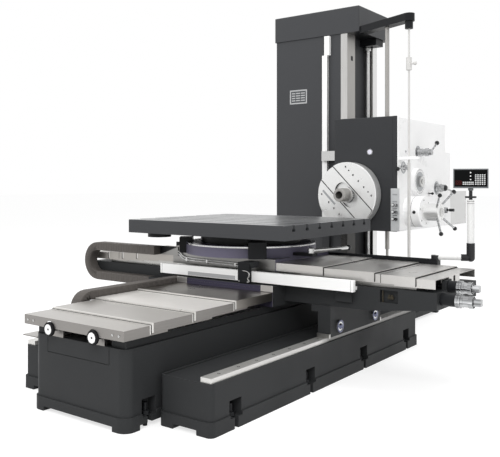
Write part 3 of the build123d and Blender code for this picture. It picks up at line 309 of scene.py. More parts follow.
def copies(obj: Piece, places: Sequence[Matrix | Spot], name: str) -> Piece:
    """Copies a piece to each place and joins the copies into one piece.

    Args:
        obj: the pattern, modelled at the origin; it is used up.
        places: an offset or a matrix for each copy.
        name: the joined piece's name.

    Returns:
        The joined piece.
    """
    made = []
    for place in places:
        twin = obj.copy()
        twin.data = obj.data.copy()
        twin.data.transform(place if isinstance(place, Matrix) else Matrix.Translation(place))
        bpy.context.collection.objects.link(twin)
        made.append(twin)
    bpy.data.objects.remove(obj)
    return joined(made, name)


def joined(pieces: Sequence[Piece], name: str) -> Piece:
    """Joins pieces into one.

    Args:
        pieces: the pieces; the first one takes up the others.
        name: the joined piece's name.

    Returns:
        The joined piece.
    """
    alone(pieces[0])
    for obj in pieces:
        obj.select_set(True)
    if len(pieces) > 1:
        bpy.ops.object.join()
    obj = bpy.context.active_object
    obj.name = name
    obj.data.name = name
    return obj


def screw(radius: float, height: float, lie: Lie) -> Piece:
    """Models a screw's head at the origin, with an eased edge and a recess.

    Args:
        radius: the head's radius.
        height: how far it stands out.
        lie: direction that it looks in.

    Returns:
        The head.
    """
    profile = ((0, radius), (height * 0.8, radius), (height, radius * 0.86), (height, radius * 0.5),
               (height * 0.5, radius * 0.45), (height * 0.5, 0))
    return turned("screw", profile, ORIGIN, lie, 12)


def ringed(centre: Spot, axis: str, count: int) -> list[Matrix]:
    """Spreads places evenly round an axis.

    Args:
        centre: a point on the axis.
        axis: the axis's letter.
        count: number of places.

    Returns:
        A matrix for each place.
    """
    return [Matrix.Translation(centre) @ Matrix.Rotation(2 * math.pi * n / count, 4, axis) for n in range(count)]


def middle_of(node: str) -> Vector:
    """Gives the middle of a node's box."""
    low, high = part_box(node)
    return (low + high) / 2


class Grain(Enum):
    """Direction of fine marks in a surface, as how close they lie along X, Y and Z."""

    EVEN = (1.0, 1.0, 1.0)
    ALONG_X = (0.02, 1.0, 1.0)
    ALONG_Y = (1.0, 0.02, 1.0)
    ALONG_Z = (1.0, 1.0, 0.02)


def linear(code: str) -> tuple[float, float, float, float]:
    """Turns a six-figure colour code into linear light."""
    shares = [int(code[i:i + 2], 16) / 255 for i in (0, 2, 4)]
    return (*[s / 12.92 if s <= 0.04045 else ((s + 0.055) / 1.055) ** 2.4 for s in shares], 1.0)


def tinted(colour: Sequence[float], share: float) -> tuple[float, float, float, float]:
    """Makes a colour lighter or darker by a share."""
    return (*[min(1.0, max(0.0, part * (1 + share))) for part in colour[:3]], 1.0)


@dataclass(frozen=True)
class Finish:
    """One surface finish, as a node material on the piece's own coordinates.

    Args:
        name: the material's name.
        colour: six-figure colour code.
        metal: 1 for bare metal.
        rough: roughness at its middle.
        gloss: strength of the mirror layer on paint and plastic.
        spread: how far the roughness wanders.
        cloud: share by which the colour wanders in soft clouds.
        cloud_scale: clouds in a metre.
        grain: direction of the fine marks.
        mark: share by which fine marks change the colour.
        mark_scale: fine marks in a metre.
        bump: depth of the marks, in metres.
        edge: radius of the softened edges, in metres.
        worn: colour of rubbed edges, or None.
        wear: how much of the edges is rubbed.
        coat: strength of a clear coat.
        painted_shade: axis, where the surface is unshaded, where the painted shade is full, and the share of light left
            there.
        glow: strength of its own light.
    """

    name: str
    colour: str
    metal: float = 0.0
    rough: float = 0.5
    gloss: float = 0.2
    spread: float = 0.08
    cloud: float = 0.06
    cloud_scale: float = 3.0
    grain: Grain = Grain.EVEN
    mark: float = 0.04
    mark_scale: float = 400.0
    bump: float = 0.0001
    edge: float = 0.002
    worn: str | None = None
    wear: float = 0.5
    coat: float = 0.0
    painted_shade: tuple[int, float, float, float] | None = None
    glow: float = 0.0

    def material(self) -> bpy.types.Material:
        """Makes the material, or gives it back where it is made already."""
        return bpy.data.materials.get(f"{self.name}_look") or self.made()

    def made(self) -> bpy.types.Material:
        """Builds the material's nodes.

        Returns:
            The new material.
        """
        material = bpy.data.materials.new(f"{self.name}_look")
        material.use_nodes = True
        tree = material.node_tree
        shader = tree.nodes["Principled BSDF"]
        shader.inputs["Metallic"].default_value = self.metal
        shader.inputs["Specular IOR Level"].default_value = self.gloss
        shader.inputs["Coat Weight"].default_value = self.coat
        place = tree.nodes.new("ShaderNodeTexCoord").outputs["Object"]
        clouds = self.noise(tree, place, self.cloud_scale, 5)
        stretch = tree.nodes.new("ShaderNodeMapping")
        stretch.inputs["Scale"].default_value = self.grain.value
        tree.links.new(place, stretch.inputs["Vector"])
        marks = self.noise(tree, stretch.outputs["Vector"], self.mark_scale, 2)
        tone = linear(self.colour)
        base = self.mixed(tree, clouds, tinted(tone, -self.cloud), tinted(tone, self.cloud))
        fine = self.ranged(tree, marks, 0.3, 0.7, 1 - self.mark, 1 + self.mark)
        base = self.scaled(tree, base, fine)
        # Painted shade along one axis.
        if self.painted_shade:
            base = self.painted_shade_along(tree, base, place)
        bevel = tree.nodes.new("ShaderNodeBevel")
        bevel.samples = 4
        bevel.inputs["Radius"].default_value = self.edge
        if self.worn:
            base = self.rubbed(tree, base, bevel, clouds)
        tree.links.new(base, shader.inputs["Base Color"])
        if self.glow:
            tree.links.new(base, shader.inputs["Emission Color"])
            shader.inputs["Emission Strength"].default_value = self.glow
        low, high = max(0.02, self.rough - self.spread), self.rough + self.spread
        tree.links.new(self.ranged(tree, clouds, 0.3, 0.7, low, high), shader.inputs["Roughness"])
        relief = tree.nodes.new("ShaderNodeBump")
        relief.inputs["Strength"].default_value = 1.0
        relief.inputs["Distance"].default_value = self.bump
        tree.links.new(marks, relief.inputs["Height"])
        tree.links.new(bevel.outputs["Normal"], relief.inputs["Normal"])
        tree.links.new(relief.outputs["Normal"], shader.inputs["Normal"])
        return material

    def rubbed(self, tree: Tree, base: Socket, bevel: bpy.types.Node, clouds: Socket) -> Socket:
        """Mixes the rubbed colour in where the softened normal leaves the true one.

        Args:
            tree: the material's nodes.
            base: the colour so far.
            bevel: the node that softens the edges.
            clouds: soft noise that breaks the rubbing up.

        Returns:
            The mixed colour.
        """
        true = tree.nodes.new("ShaderNodeNewGeometry").outputs["Normal"]
        turn = tree.nodes.new("ShaderNodeVectorMath")
        turn.operation = "DOT_PRODUCT"
        tree.links.new(true, turn.inputs[0])
        tree.links.new(bevel.outputs["Normal"], turn.inputs[1])
        edge = self.ranged(tree, turn.outputs["Value"], 0.99, 0.86, 0, 1)
        patchy = self.ranged(tree, clouds, 0.35, 0.6, self.wear * 0.3, self.wear)
        share = tree.nodes.new("ShaderNodeMath")
        share.operation = "MULTIPLY"
        tree.links.new(edge, share.inputs[0])
        tree.links.new(patchy, share.inputs[1])
        return self.mixed(tree, share.outputs[0], base, linear(self.worn))

    def painted_shade_along(self, tree: Tree, base: Socket, place: Socket) -> Socket:
        """Darkens the colour along one axis: painted shade.

        Args:
            tree: the material's nodes.
            base: the colour so far.
            place: the piece's own coordinates.

        Returns:
            The darkened colour.
        """
        axis, unshaded_end, shaded_end, left = self.painted_shade
        parts = tree.nodes.new("ShaderNodeSeparateXYZ")
        tree.links.new(place, parts.inputs[0])
        return self.scaled(tree, base, self.ranged(tree, parts.outputs[axis], shaded_end, unshaded_end, left, 1.0))

    @staticmethod
    def noise(tree: Tree, place: Socket, scale: float, detail: float) -> Socket:
        """Adds a noise.

        Args:
            tree: the material's nodes.
            place: coordinates that it is read at.
            scale: its marks in a metre.
            detail: layers of finer marks in it.

        Returns:
            The noise's height.
        """
        node = tree.nodes.new("ShaderNodeTexNoise")
        node.inputs["Scale"].default_value = scale
        node.inputs["Detail"].default_value = detail
        tree.links.new(place, node.inputs["Vector"])
        return node.outputs["Fac"]

    @staticmethod
    def ranged(tree: Tree, value: Socket, low: float, high: float, to_low: float, to_high: float) -> Socket:
        """Maps a value from one range onto another, clamped.

        Args:
            tree: the material's nodes.
            value: the value.
            low: start of its range.
            high: end of its range.
            to_low: what the start becomes.
            to_high: what the end becomes.

        Returns:
            The mapped value.
        """
        node = tree.nodes.new("ShaderNodeMapRange")
        for key, number in zip(("From Min", "From Max", "To Min", "To Max"), (low, high, to_low, to_high)):
            node.inputs[key].default_value = number
        tree.links.new(value, node.inputs["Value"])
        return node.outputs["Result"]

    @staticmethod
    def mixed(tree: Tree, share: Socket, first: Socket | Sequence[float], second: Sequence[float]) -> Socket:
        """Mixes two colours by a value.

        Args:
            tree: the material's nodes.
            share: the share of the second colour.
            first: a socket or a fixed colour.
            second: a fixed colour.

        Returns:
            The mixed colour.
        """
        node = tree.nodes.new("ShaderNodeMix")
        node.data_type = "RGBA"
        tree.links.new(share, node.inputs["Factor"])
        if isinstance(first, Socket):
            tree.links.new(first, node.inputs["A"])
        else:
            node.inputs["A"].default_value = first
        node.inputs["B"].default_value = second
        return node.outputs["Result"]

    @staticmethod
    def scaled(tree: Tree, colour: Socket, share: Socket) -> Socket:
        """Multiplies a colour by a value.

        Args:
            tree: the material's nodes.
            colour: the colour.
            share: the value.

        Returns:
            The product.
        """
        node = tree.nodes.new("ShaderNodeVectorMath")
        node.operation = "SCALE"
        tree.links.new(colour, node.inputs[0])
        tree.links.new(share, node.inputs["Scale"])
        return node.outputs["Vector"]


BED_PAINT = Finish("bed_paint", "303132", rough=0.5, gloss=0.12, cloud=0.05, bump=0.00012, mark_scale=220,
                   worn="5A5A58", wear=0.3)
COLUMN_PAINT = Finish("column_paint", "414244", rough=0.42, gloss=0.15, cloud=0.04, bump=0.00008, mark_scale=260,
                      worn="626260", wear=0.25, edge=0.003)
HEAD_PAINT = Finish("head_paint", "343537", rough=0.42, cloud=0.05, bump=0.0001, mark_scale=240, worn="666664",
                    wear=0.3, edge=0.003)
WHITE_PAINT = Finish("white_paint", "F8F8F8", rough=0.32, cloud=0.02, mark=0.01, bump=0.00005, mark_scale=260,
                     worn="D4D5D6", wear=0.3, edge=0.003, coat=0.1)
TURNTABLE_PAINT = Finish("turntable_paint", "676476", rough=0.4, cloud=0.05, bump=0.0001, mark_scale=240,
                         worn="8A8A92", wear=0.4)
# Darker copy of the turntable paint for the saddle's front: purple paint with painted shade.
SADDLE_PAINT_SHADE = replace(TURNTABLE_PAINT, name="saddle_paint_shade", colour="3A3747", rough=0.42, cloud=0.06, worn="6A6A72")
TABLE_IRON = Finish("table_iron", "414244", rough=0.45, gloss=0.12, cloud=0.06, mark_scale=300,
                    grain=Grain.ALONG_X, bump=0.00004, worn="8C8D8E", wear=0.5)
TABLE_TOP = Finish("table_top", "A6A7A8", metal=0.9, rough=0.32, spread=0.05, cloud=0.05, mark_scale=360,
                   grain=Grain.ALONG_X, mark=0.05, bump=0.00002)
# Rails darker from under the saddle on towards the column: painted shade and painted dark reflection of the saddle.
GROUND_STEEL = Finish("ground_steel", "D2D1CE", metal=0.7, rough=0.32, spread=0.06, cloud=0.05, grain=Grain.ALONG_Y,
                      mark=0.06, mark_scale=500, bump=0.00002, painted_shade=(1, -0.42, -0.3, 0.35))
CROSS_STEEL = Finish("cross_steel", "B4B3B0", metal=1.0, rough=0.3, spread=0.06, cloud=0.05, grain=Grain.ALONG_X,
                     mark=0.06, mark_scale=500, bump=0.00002)
# Ways darker towards the bottom, below the table's height: painted shade.
COLUMN_STEEL = Finish("column_steel", "CBCAC8", metal=1.0, rough=0.3, spread=0.06, cloud=0.06, grain=Grain.ALONG_Z,
                      mark=0.08, mark_scale=300, bump=0.00002, painted_shade=(2, 0.95, 0.86, 0.12))
# Darker copy of the column steel for the ways' right faces: painted shade.
COLUMN_SIDE_SHADE = replace(COLUMN_STEEL, name="column_side_shade", colour="A3A19E", rough=0.35)
SCREW_STEEL = Finish("screw_steel", "DEDEDD", metal=1.0, rough=0.3, spread=0.06, cloud=0.04, mark=0.05, bump=0.00002)
WAY_SIDE = replace(CROSS_STEEL, name="way_side", colour="8E8D8B", rough=0.35, grain=Grain.ALONG_Z)
COVER_STEEL = Finish("cover_steel", "B4B1AD", metal=0.6, rough=0.34, spread=0.07, cloud=0.07, cloud_scale=2.2,
                     grain=Grain.ALONG_X, mark=0.05, mark_scale=420, bump=0.00002, edge=0.001, worn="D6D3CD", wear=0.9)
# Lighter copy of the cover steel for the section nearest the saddle: painted light.
COVER_PAINTED_LIGHT = replace(COVER_STEEL, name="cover_painted_light", colour="E2DFDB", metal=0.5, worn="E2DFDA")
# Darker copy of the cover steel for the skirts: painted shade.
COVER_SKIRT_SHADE = replace(COVER_STEEL, name="cover_skirt_shade", colour="8F8C89", metal=1.0, rough=0.38, grain=Grain.ALONG_Y,
                      worn="B5B2AC", wear=0.6)
# Darker copy of the cover steel for the saddle's front section: painted shade.
COVER_SHADE = replace(COVER_STEEL, name="cover_shade", colour="9C9791", metal=1.0, rough=0.3, spread=0.06, cloud=0.08,
                      worn="A9A6A0", wear=0.6)
CROSS_COVER_STEEL = replace(COVER_STEEL, name="cross_cover_steel", colour="CFCDCA", metal=0.9, grain=Grain.ALONG_Y,
                            worn="DEDCD8", wear=0.8)
# Darker copy of the cross cover steel for the left covers: painted shade, with worn edges.
CROSS_COVER_SHADE = replace(CROSS_COVER_STEEL, name="cross_cover_shade", colour="A8A49F", rough=0.36, cloud=0.1,
                           cloud_scale=3.0, mark=0.06, worn="C6C3BE", wear=0.7)
# Pale steel for the lips' bands, feet and the covers' end faces: painted highlights.
EDGE_HIGHLIGHT = Finish("edge_highlight", "DDDBD7", metal=0.5, rough=0.3, spread=0.05, cloud=0.04, mark=0.03, bump=0.00001,
                    edge=0.0006)
BRIGHT_STEEL = Finish("bright_steel", "CACAC9", metal=1.0, rough=0.22, spread=0.06, cloud=0.04, mark=0.05,
                      mark_scale=600, bump=0.00001, edge=0.001)
# Chrome's strong coarse streaks along its axis are painted reflections.
CHROME = Finish("chrome", "A9AAAB", metal=1.0, rough=0.14, spread=0.05, cloud=0.04, grain=Grain.ALONG_X, mark=0.6,
                mark_scale=75, bump=0.00001, edge=0.0008)
PALE_ROD = Finish("pale_rod", "D2D1CF", metal=0.3, rough=0.5, spread=0.05, cloud=0.04, grain=Grain.ALONG_Z,
                  mark=0.04, mark_scale=500, bump=0.00001, edge=0.0008)
# Bluish dark steel for the roller caps: painted reflection.
ROLLER_STEEL_REFLECTION = Finish("roller_steel_reflection", "62657A", metal=1.0, rough=0.2, spread=0.05, cloud=0.06, mark=0.04,
                      mark_scale=500, bump=0.00001, edge=0.0008)
ROD_STEEL = replace(PALE_ROD, name="rod_steel", colour="ADABA8", metal=0.8, rough=0.42)
PLATE_STEEL = Finish("plate_steel", "EBEBEA", metal=0.7, rough=0.34, spread=0.08, cloud=0.1, cloud_scale=9.0, mark=0.08,
                     mark_scale=260, bump=0.00002, edge=0.001)
BLACK_STEEL = Finish("black_steel", "1C1D1F", rough=0.4, gloss=0.15, cloud=0.08, mark_scale=300, bump=0.00005,
                     worn="5A5B5E", wear=0.4, edge=0.0012)
SCALE_WHITE = Finish("scale_white", "EFEFEE", rough=0.35, cloud=0.02, mark=0.01, bump=0.00003, edge=0.0015)
CHAIN_PLASTIC = Finish("chain_plastic", "56524F", rough=0.55, cloud=0.06, mark_scale=350, bump=0.00006, worn="625E5A",
                       wear=0.4, edge=0.0012)
CHAIN_INNER = Finish("chain_inner", "8A857F", rough=0.6, cloud=0.08, mark_scale=350, bump=0.00006)
BLACK_PLASTIC = Finish("black_plastic", "17181A", rough=0.3, gloss=0.4, cloud=0.05, mark_scale=500, bump=0.00003,
                       edge=0.001)
PALE_TUBE = Finish("pale_tube", "E2E2E1", rough=0.3, metal=0.1, cloud=0.02, mark=0.015, bump=0.00003, edge=0.001)
DISPLAY_PLASTIC = Finish("display_plastic", "6E7173", rough=0.45, cloud=0.03, mark_scale=700, bump=0.00005, edge=0.002)
HOUSING_GREY = replace(WHITE_PAINT, name="housing_grey", colour="D9D9D8", rough=0.34, cloud=0.04, mark=0.02,
                       worn="BFC0C1")
PANEL_SILVER = Finish("panel_silver", "C6C8C9", rough=0.4, metal=0.3, cloud=0.04, mark_scale=500, bump=0.00002,
                      grain=Grain.ALONG_Z, edge=0.0015)
RUBBER = Finish("buffer_rubber", "1B1B1C", rough=0.75, cloud=0.1, mark_scale=500, bump=0.0001, edge=0.001)
BRASS = Finish("brass", "3E392F", metal=0.3, rough=0.55, cloud=0.08, mark_scale=400, bump=0.00003, edge=0.001)
GLASS_OIL = Finish("sight_glass", "DEDCEA", rough=0.08, gloss=0.5, cloud=0.04, coat=1.0, mark=0.01, bump=0.00001,
                   edge=0.001)
PLATE_SILVER = Finish("bare_plate", "A9ABAD", metal=0.9, rough=0.3, cloud=0.05, grain=Grain.ALONG_X, mark=0.05,
                      bump=0.00001, edge=0.0006)
SCREEN_BLACK = Finish("screen_black", "070808", rough=0.25, gloss=0.08, cloud=0.02, mark=0.01, bump=0.00001)
KEY_GREY = Finish("key_grey", "D2D3D3", rough=0.5, cloud=0.03, bump=0.00003, edge=0.0008)
DIGIT_RED = Finish("digit_red", "5A1A18", rough=0.4, cloud=0.02, glow=0.15)
INK = Finish("ink", "2A2B2D", rough=0.6, cloud=0.03, bump=0.00001)
PLATE_FIELD = Finish("plate_field", "4E5052", rough=0.45, gloss=0.15, cloud=0.05, bump=0.00001)
PLATE_PALE = Finish("plate_pale", "B2B3B4", rough=0.4, metal=0.3, cloud=0.04, mark=0.03, bump=0.00001)


def ready(obj: Piece, finish: Finish, body: str) -> None:
    """Gives a piece its finish, its soft shading and the body that it rides on.

    Args:
        obj: the finished mesh.
        finish: its surface.
        body: the body that carries it.
    """
    shaded(obj, finish)
    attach(obj, body)
    log.info("%s rides on %s", obj.name, body)


def shaded(obj: Piece, *finishes: Finish) -> None:
    """Smooths a piece's round faces and gives it its finishes in order.

    Args:
        obj: the piece.
        finishes: its finishes.
    """
    alone(obj)
    bpy.ops.object.shade_smooth_by_angle(angle=SMOOTH_ANGLE)
    obj.data.materials.clear()
    for finish in finishes:
        obj.data.materials.append(finish.material())


def dress(finish: Finish, *nodes: str) -> None:
    """Gives solids of the frame one finish all over.

    Args:
        finish: the finish.
        nodes: names of the solids.
    """
    for node in nodes:
        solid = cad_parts[node]
        solid.data.materials.clear()
        solid.data.materials.append(finish.material())


def touch(node: str, finish: Finish, test: FaceTest) -> None:
    """Gives a second finish to the faces of a solid that pass a test.

    Args:
        node: name of the solid.
        finish: the finish of those faces.
        test: takes a face's middle and its normal.
    """
    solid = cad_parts[node]
    solid.data.materials.append(finish.material())
    number = len(solid.data.materials) - 1
    for face in solid.data.polygons:
        if test(face.center, face.normal):
            face.material_index = number


@dataclass(frozen=True)
class Lamp:
    """Soft square lamp that neither the camera nor bright metal shows."""

    name: str
    spot: Spot
    aim: Spot
    size: float
    power: float

    def build(self) -> None:
        """Hangs the lamp and turns it to its aim."""
        lamp = bpy.data.lights.new(self.name, "AREA")
        lamp.size = self.size
        lamp.energy = self.power
        holder = bpy.data.objects.new(self.name, lamp)
        bpy.context.collection.objects.link(holder)
        holder.location = self.spot
        holder.rotation_euler = (Vector(self.aim) - Vector(self.spot)).to_track_quat("-Z", "Y").to_euler()
        holder.visible_camera = False
        holder.visible_glossy = False


@dataclass
class Studio:
    """Pale floor, soft light and the camera at the photograph's angle."""

    eye: tuple[float, float, float] = (2.7775, -3.9247, 1.1925)
    yaw: float = 0.635
    lens: float = 50.217
    sensor: float = 36.0
    shift_up: float = -0.0908
    floor_half: float = 60.0
    floor_tone: float = 0.8
    floor_rough: float = 0.9
    floor_shade: float = 0.42
    floor_glow: float = 0.7
    sky: float = 0.68
    lamps: tuple[Lamp, ...] = (
        Lamp("key_lamp", (3.5, -6.0, 5.5), (0, 0.3, 0.9), 4.0, 340),
        Lamp("fill_lamp", (-6.0, -4.0, 4.0), (0, 0.3, 0.9), 4.0, 140),
        Lamp("top_lamp", (0.5, 0.5, 7.0), (0, 0.3, 0.5), 5.0, 230),
    )

    def seen(self, tree: Tree) -> Socket:
        """Tells rays from the camera, gloss and glass from all others.

        Args:
            tree: the nodes.

        Returns:
            A value that is 1 on those rays.
        """
        path = tree.nodes.new("ShaderNodeLightPath")
        share = path.outputs["Is Camera Ray"]
        for name in ("Is Glossy Ray", "Is Transmission Ray"):
            add = tree.nodes.new("ShaderNodeMath")
            add.operation = "MAXIMUM"
            tree.links.new(share, add.inputs[0])
            tree.links.new(path.outputs[name], add.inputs[1])
            share = add.outputs[0]
        return share

    def parted(self, tree: Tree, lighting: Socket, shown: Socket, output: str) -> None:
        """Gives one shader to the rays that are seen and another to all others.

        Args:
            tree: the nodes.
            lighting: shader for the others.
            shown: shader for the rays that are seen.
            output: name of the output node.
        """
        mix = tree.nodes.new("ShaderNodeMixShader")
        tree.links.new(self.seen(tree), mix.inputs[0])
        tree.links.new(lighting, mix.inputs[1])
        tree.links.new(shown, mix.inputs[2])
        tree.links.new(mix.outputs[0], tree.nodes[output].inputs["Surface"])

    def build_world(self) -> None:
        """Fills the room with even light, white where it is seen."""
        world = bpy.data.worlds.new("room")
        bpy.context.scene.world = world
        world.use_nodes = True
        tree = world.node_tree
        soft = tree.nodes["Background"]
        soft.inputs["Strength"].default_value = self.sky
        white = tree.nodes.new("ShaderNodeBackground")
        white.inputs["Color"].default_value = (1, 1, 1, 1)
        soft.inputs["Color"].default_value = (1, 1, 1, 1)
        self.parted(tree, soft.outputs[0], white.outputs[0], "World Output")

    def build_floor(self) -> None:
        """Lays a pale floor that keeps the machine's shadow."""
        bpy.ops.object.select_all(action="DESELECT")
        bpy.ops.mesh.primitive_plane_add(size=2 * self.floor_half, location=ORIGIN)
        floor = settled("floor")
        material = bpy.data.materials.new("floor_pale")
        material.use_nodes = True
        tree = material.node_tree
        plain = tree.nodes["Principled BSDF"]
        plain.inputs["Base Color"].default_value = (*[self.floor_tone] * 3, 1)
        plain.inputs["Roughness"].default_value = self.floor_rough
        shade = tree.nodes.new("ShaderNodeBsdfDiffuse")
        shade.inputs["Color"].default_value = (*[self.floor_shade] * 3, 1)
        glow = tree.nodes.new("ShaderNodeEmission")
        glow.inputs["Strength"].default_value = self.floor_glow
        both = tree.nodes.new("ShaderNodeAddShader")
        tree.links.new(shade.outputs[0], both.inputs[0])
        tree.links.new(glow.outputs[0], both.inputs[1])
        self.parted(tree, plain.outputs[0], both.outputs[0], "Material Output")
        floor.data.materials.append(material)

    def build_camera(self) -> None:
        """Sets the camera where the photograph was taken from."""
        data = bpy.data.cameras.new("photo_camera")
        data.lens = self.lens
        data.sensor_width = self.sensor
        data.shift_y = self.shift_up
        camera = bpy.data.objects.new("photo_camera", data)
        bpy.context.collection.objects.link(camera)
        camera.location = self.eye
        camera.rotation_euler = (math.pi / 2, 0, self.yaw)
        bpy.context.scene.camera = camera

    def build(self) -> None:
        """Builds the studio."""
        bpy.context.scene.view_settings.view_transform = "Standard"
        self.build_world()
        self.build_floor()
        for lamp in self.lamps:
            lamp.build()
        self.build_camera()


@dataclass
class CableChain:
    """Cable chain between two bodies: a lower run, a half-round bend and an upper run."""

    node: str
    still: str
    moving: str
    lie: Lie
    run: float
    lower_end: float
    upper_end: float
    pitch: float = 0.052
    bend_pitch: float = 0.018
    gap: float = 0.0006
    edge: float = 0.0016
    plate_rim: float = 0.011
    rim_share: float = 0.3
    plate_sink: float = 0.0012
    bend_slim: float = 0.003
    fewest_in_bend: int = 9
    far: float = 100.0

    def across(self) -> Vector:
        """Gives the middle of the chain's width, with nothing along it or up."""
        middle = middle_of(self.node)
        return Vector((middle.x * (1 - self.lie.value[0]), middle.y * (1 - self.lie.value[1]), 0))

    def width(self) -> float:
        """Gives the chain's width."""
        low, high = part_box(self.node)
        return (high - low).dot(Vector((1, 1, 0)) - Vector(self.lie.value))

    def link(self, length: float, thick: float) -> Piece:
        """Models one link at the origin, its inner side up and its travel along X.

        Args:
            length: room along the chain.
            thick: height of its side plates.

        Returns:
            The link, with its inner and outer faces in the second finish.
        """
        half = Vector((length - self.gap, self.width(), thick)) / 2
        obj = eased(block("link", -half, half), self.edge, 2)
        for side in (Lie.BACK_Y, Lie.Y):
            sink(obj, side, min(self.plate_rim, length * self.rim_share), self.plate_sink)
        for face in obj.data.polygons:
            face.material_index = int(abs(face.normal.z) > SQUARE)
        return obj

    def placed(self, along: float, height: float, travel: Vector, inner: Vector) -> Matrix:
        """Gives the matrix of a link.

        Args:
            along: place of its middle along the chain.
            height: height of its middle.
            travel: direction of its X.
            inner: direction of its inner side.

        Returns:
            The matrix that places the link.
        """
        spot = self.across() + Vector(self.lie.value) * along + Vector((0, 0, height))
        side = inner.cross(travel)
        return Matrix.Translation(spot) @ Matrix((travel, side, inner)).transposed().to_4x4()

    def straight(self, start: float, end: float, height: float, inner: Vector) -> Piece:
        """Lays links along a straight run and joins them.

        Args:
            start: where the run starts along the chain.
            end: where it ends.
            height: height of its middle.
            inner: direction of the links' inner side.

        Returns:
            The run.
        """
        count = max(1, round(abs(end - start) / self.pitch))
        step = (end - start) / count
        travel = Vector(self.lie.value) * (1 if step > 0 else -1)
        places = [self.placed(start + step * (i + 0.5), height, travel, inner) for i in range(count)]
        name = f"{self.node}_{'lower' if inner.z > 0 else 'upper'}_run"
        return copies(self.link(abs(step), self.run), places, name)

    def curve(self, centre: float, height: float, radius: float) -> Piece:
        """Lays short links round the bend and joins them.

        Args:
            centre: place of the bend's centre along the chain.
            height: height of that centre.
            radius: radius at the middle of the links.

        Returns:
            The bend.
        """
        count = max(self.fewest_in_bend, round(math.pi * radius / self.bend_pitch))
        u, up = Vector(self.lie.value), Vector(Lie.Z.value)
        places = []
        for i in range(count):
            angle = math.pi * (i + 0.5) / count
            c, s = math.cos(angle), math.sin(angle)
            places.append(self.placed(centre - radius * s, height - radius * c, up * s - u * c, u * s + up * c))
        length = math.pi * (radius + self.run / 2) / count
        return copies(self.link(length, self.run - self.bend_slim), places, f"{self.node}_bend")

    def build(self) -> None:
        """Builds the three stretches and hides the plain solid."""
        low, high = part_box(self.node)
        u, up = Vector(self.lie.value), Vector(Lie.Z.value)
        radius = (high.z - low.z - self.run) / 2
        centre = low.dot(u) + radius + self.run / 2
        bottom, top = low.z + self.run / 2, high.z - self.run / 2
        lower = self.straight(self.lower_end, centre, bottom, up)
        upper = self.straight(centre, self.upper_end, top, -up)
        bend = self.curve(centre, (bottom + top) / 2, radius)
        spans = (
            (lower, self.lower_end, 2 * centre - self.lower_end),
            (upper, 2 * centre - self.upper_end, self.upper_end),
            (bend, centre - self.far, centre + self.far),
        )
        for obj, start, end in spans:
            shaded(obj, CHAIN_PLASTIC, CHAIN_INNER)
            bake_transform(obj)
            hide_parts(self.node)
            log.info("%s is blended between %s and %s", obj.name, self.still, self.moving)


def bent_strip(name: str, lie: Lie, spots: tuple[float, float], half: float, top: float, drop: float,
               thick: float) -> Piece:
    """Bends a strip over a cover, across its top and down both skirts.

    Args:
        name: the piece's name.
        lie: direction that the cover slides in, X or Y.
        spots: where the strip starts and ends along that direction.
        half: half of the cover's width.
        top: height of the cover's top.
        drop: how far the strip goes down the skirts.
        thick: how proud it stands.

    Returns:
        The strip.
    """
    start, end = sorted(spots)
    along = 0 if lie is Lie.X else 1
    bpy.ops.object.select_all(action="DESELECT")
    bpy.ops.mesh.primitive_plane_add(size=1)
    obj = bpy.context.active_object
    middle, size = [0.0, 0.0, top], [2 * half, 2 * half, 1.0]
    middle[along], size[along] = (start + end) / 2, end - start
    obj.location, obj.scale = middle, size
    settled(name)
    with editing(obj, "EDGE"):
        mesh = bmesh.from_edit_mesh(obj.data)
        for edge in mesh.edges:
            places = [vert.co[1 - along] for vert in edge.verts]
            edge.select_set(abs(places[0] - places[1]) < half)
        bmesh.update_edit_mesh(obj.data)
        bpy.ops.mesh.extrude_edges_move(TRANSFORM_OT_translate={"value": (0, 0, -drop)})
    applied(obj, "SOLIDIFY", thickness=thick, offset=1.0)
    return eased(obj, min(thick, end - start) * 0.3, 1)


@dataclass
class CoverSection:
    """One telescopic cover section and the body that it moves with.

    The lip is a place along its slide, inward is the sign of the way from there over the section, and level counts
    the sections from the lowest one up.
    """

    name: str
    body: str
    lie: Lie
    lip: float
    inward: int
    level: int
    finish: Finish = EDGE_HIGHLIGHT
    step: float = 0.010
    side_step: float = 0.0035
    base_half: float = 0.376
    base_top: float = 0.500
    skirt: float = 0.050
    wiper: float = 0.004
    wiper_rise: float = 0.0035
    foot: float = 0.008
    foot_thick: float = 0.001
    lip_band: float = 0.012
    proud: float = 0.0003
    skirt_short: float = 0.002
    wiper_short: float = 0.003
    wiper_gap: float = 0.0004
    stop_line: float | None = None

    def build(self) -> None:
        """Adds the rubber wiper under the lip, its foot and the band behind it, which are painted highlights on the bed
        covers.
        """
        half = self.base_half + self.level * self.side_step
        top = self.base_top + self.level * self.step
        drop = self.skirt - self.skirt_short
        short = drop - self.wiper_short
        under, below = half - self.side_step + self.wiper_gap, top - self.step + self.wiper_gap
        front = self.lip - self.inward * self.wiper
        black = bent_strip(f"{self.name}_wiper", self.lie, (front, self.lip), under, below, short, self.wiper_rise)
        ready(black, RUBBER, self.body)
        # On the bed covers the band behind the lip and the foot carry the lip's painted highlight.
        edge = [bent_strip("lip_band", self.lie, (self.lip, self.lip + self.inward * self.lip_band), half, top, drop,
                           self.proud)]
        if self.foot:
            spots = (front, front - self.inward * self.foot)
            edge.append(bent_strip("foot", self.lie, spots, under, below, short, self.foot_thick))
        ready(joined(edge, f"{self.name}_edge"), self.finish, self.body)
        if self.stop_line:
            start = self.lip + self.inward * self.stop_line
            line = bent_strip(f"{self.name}_line", self.lie, (start, start + self.inward * self.wiper), half, top, drop,
                              self.proud)
            ready(line, RUBBER, self.body)


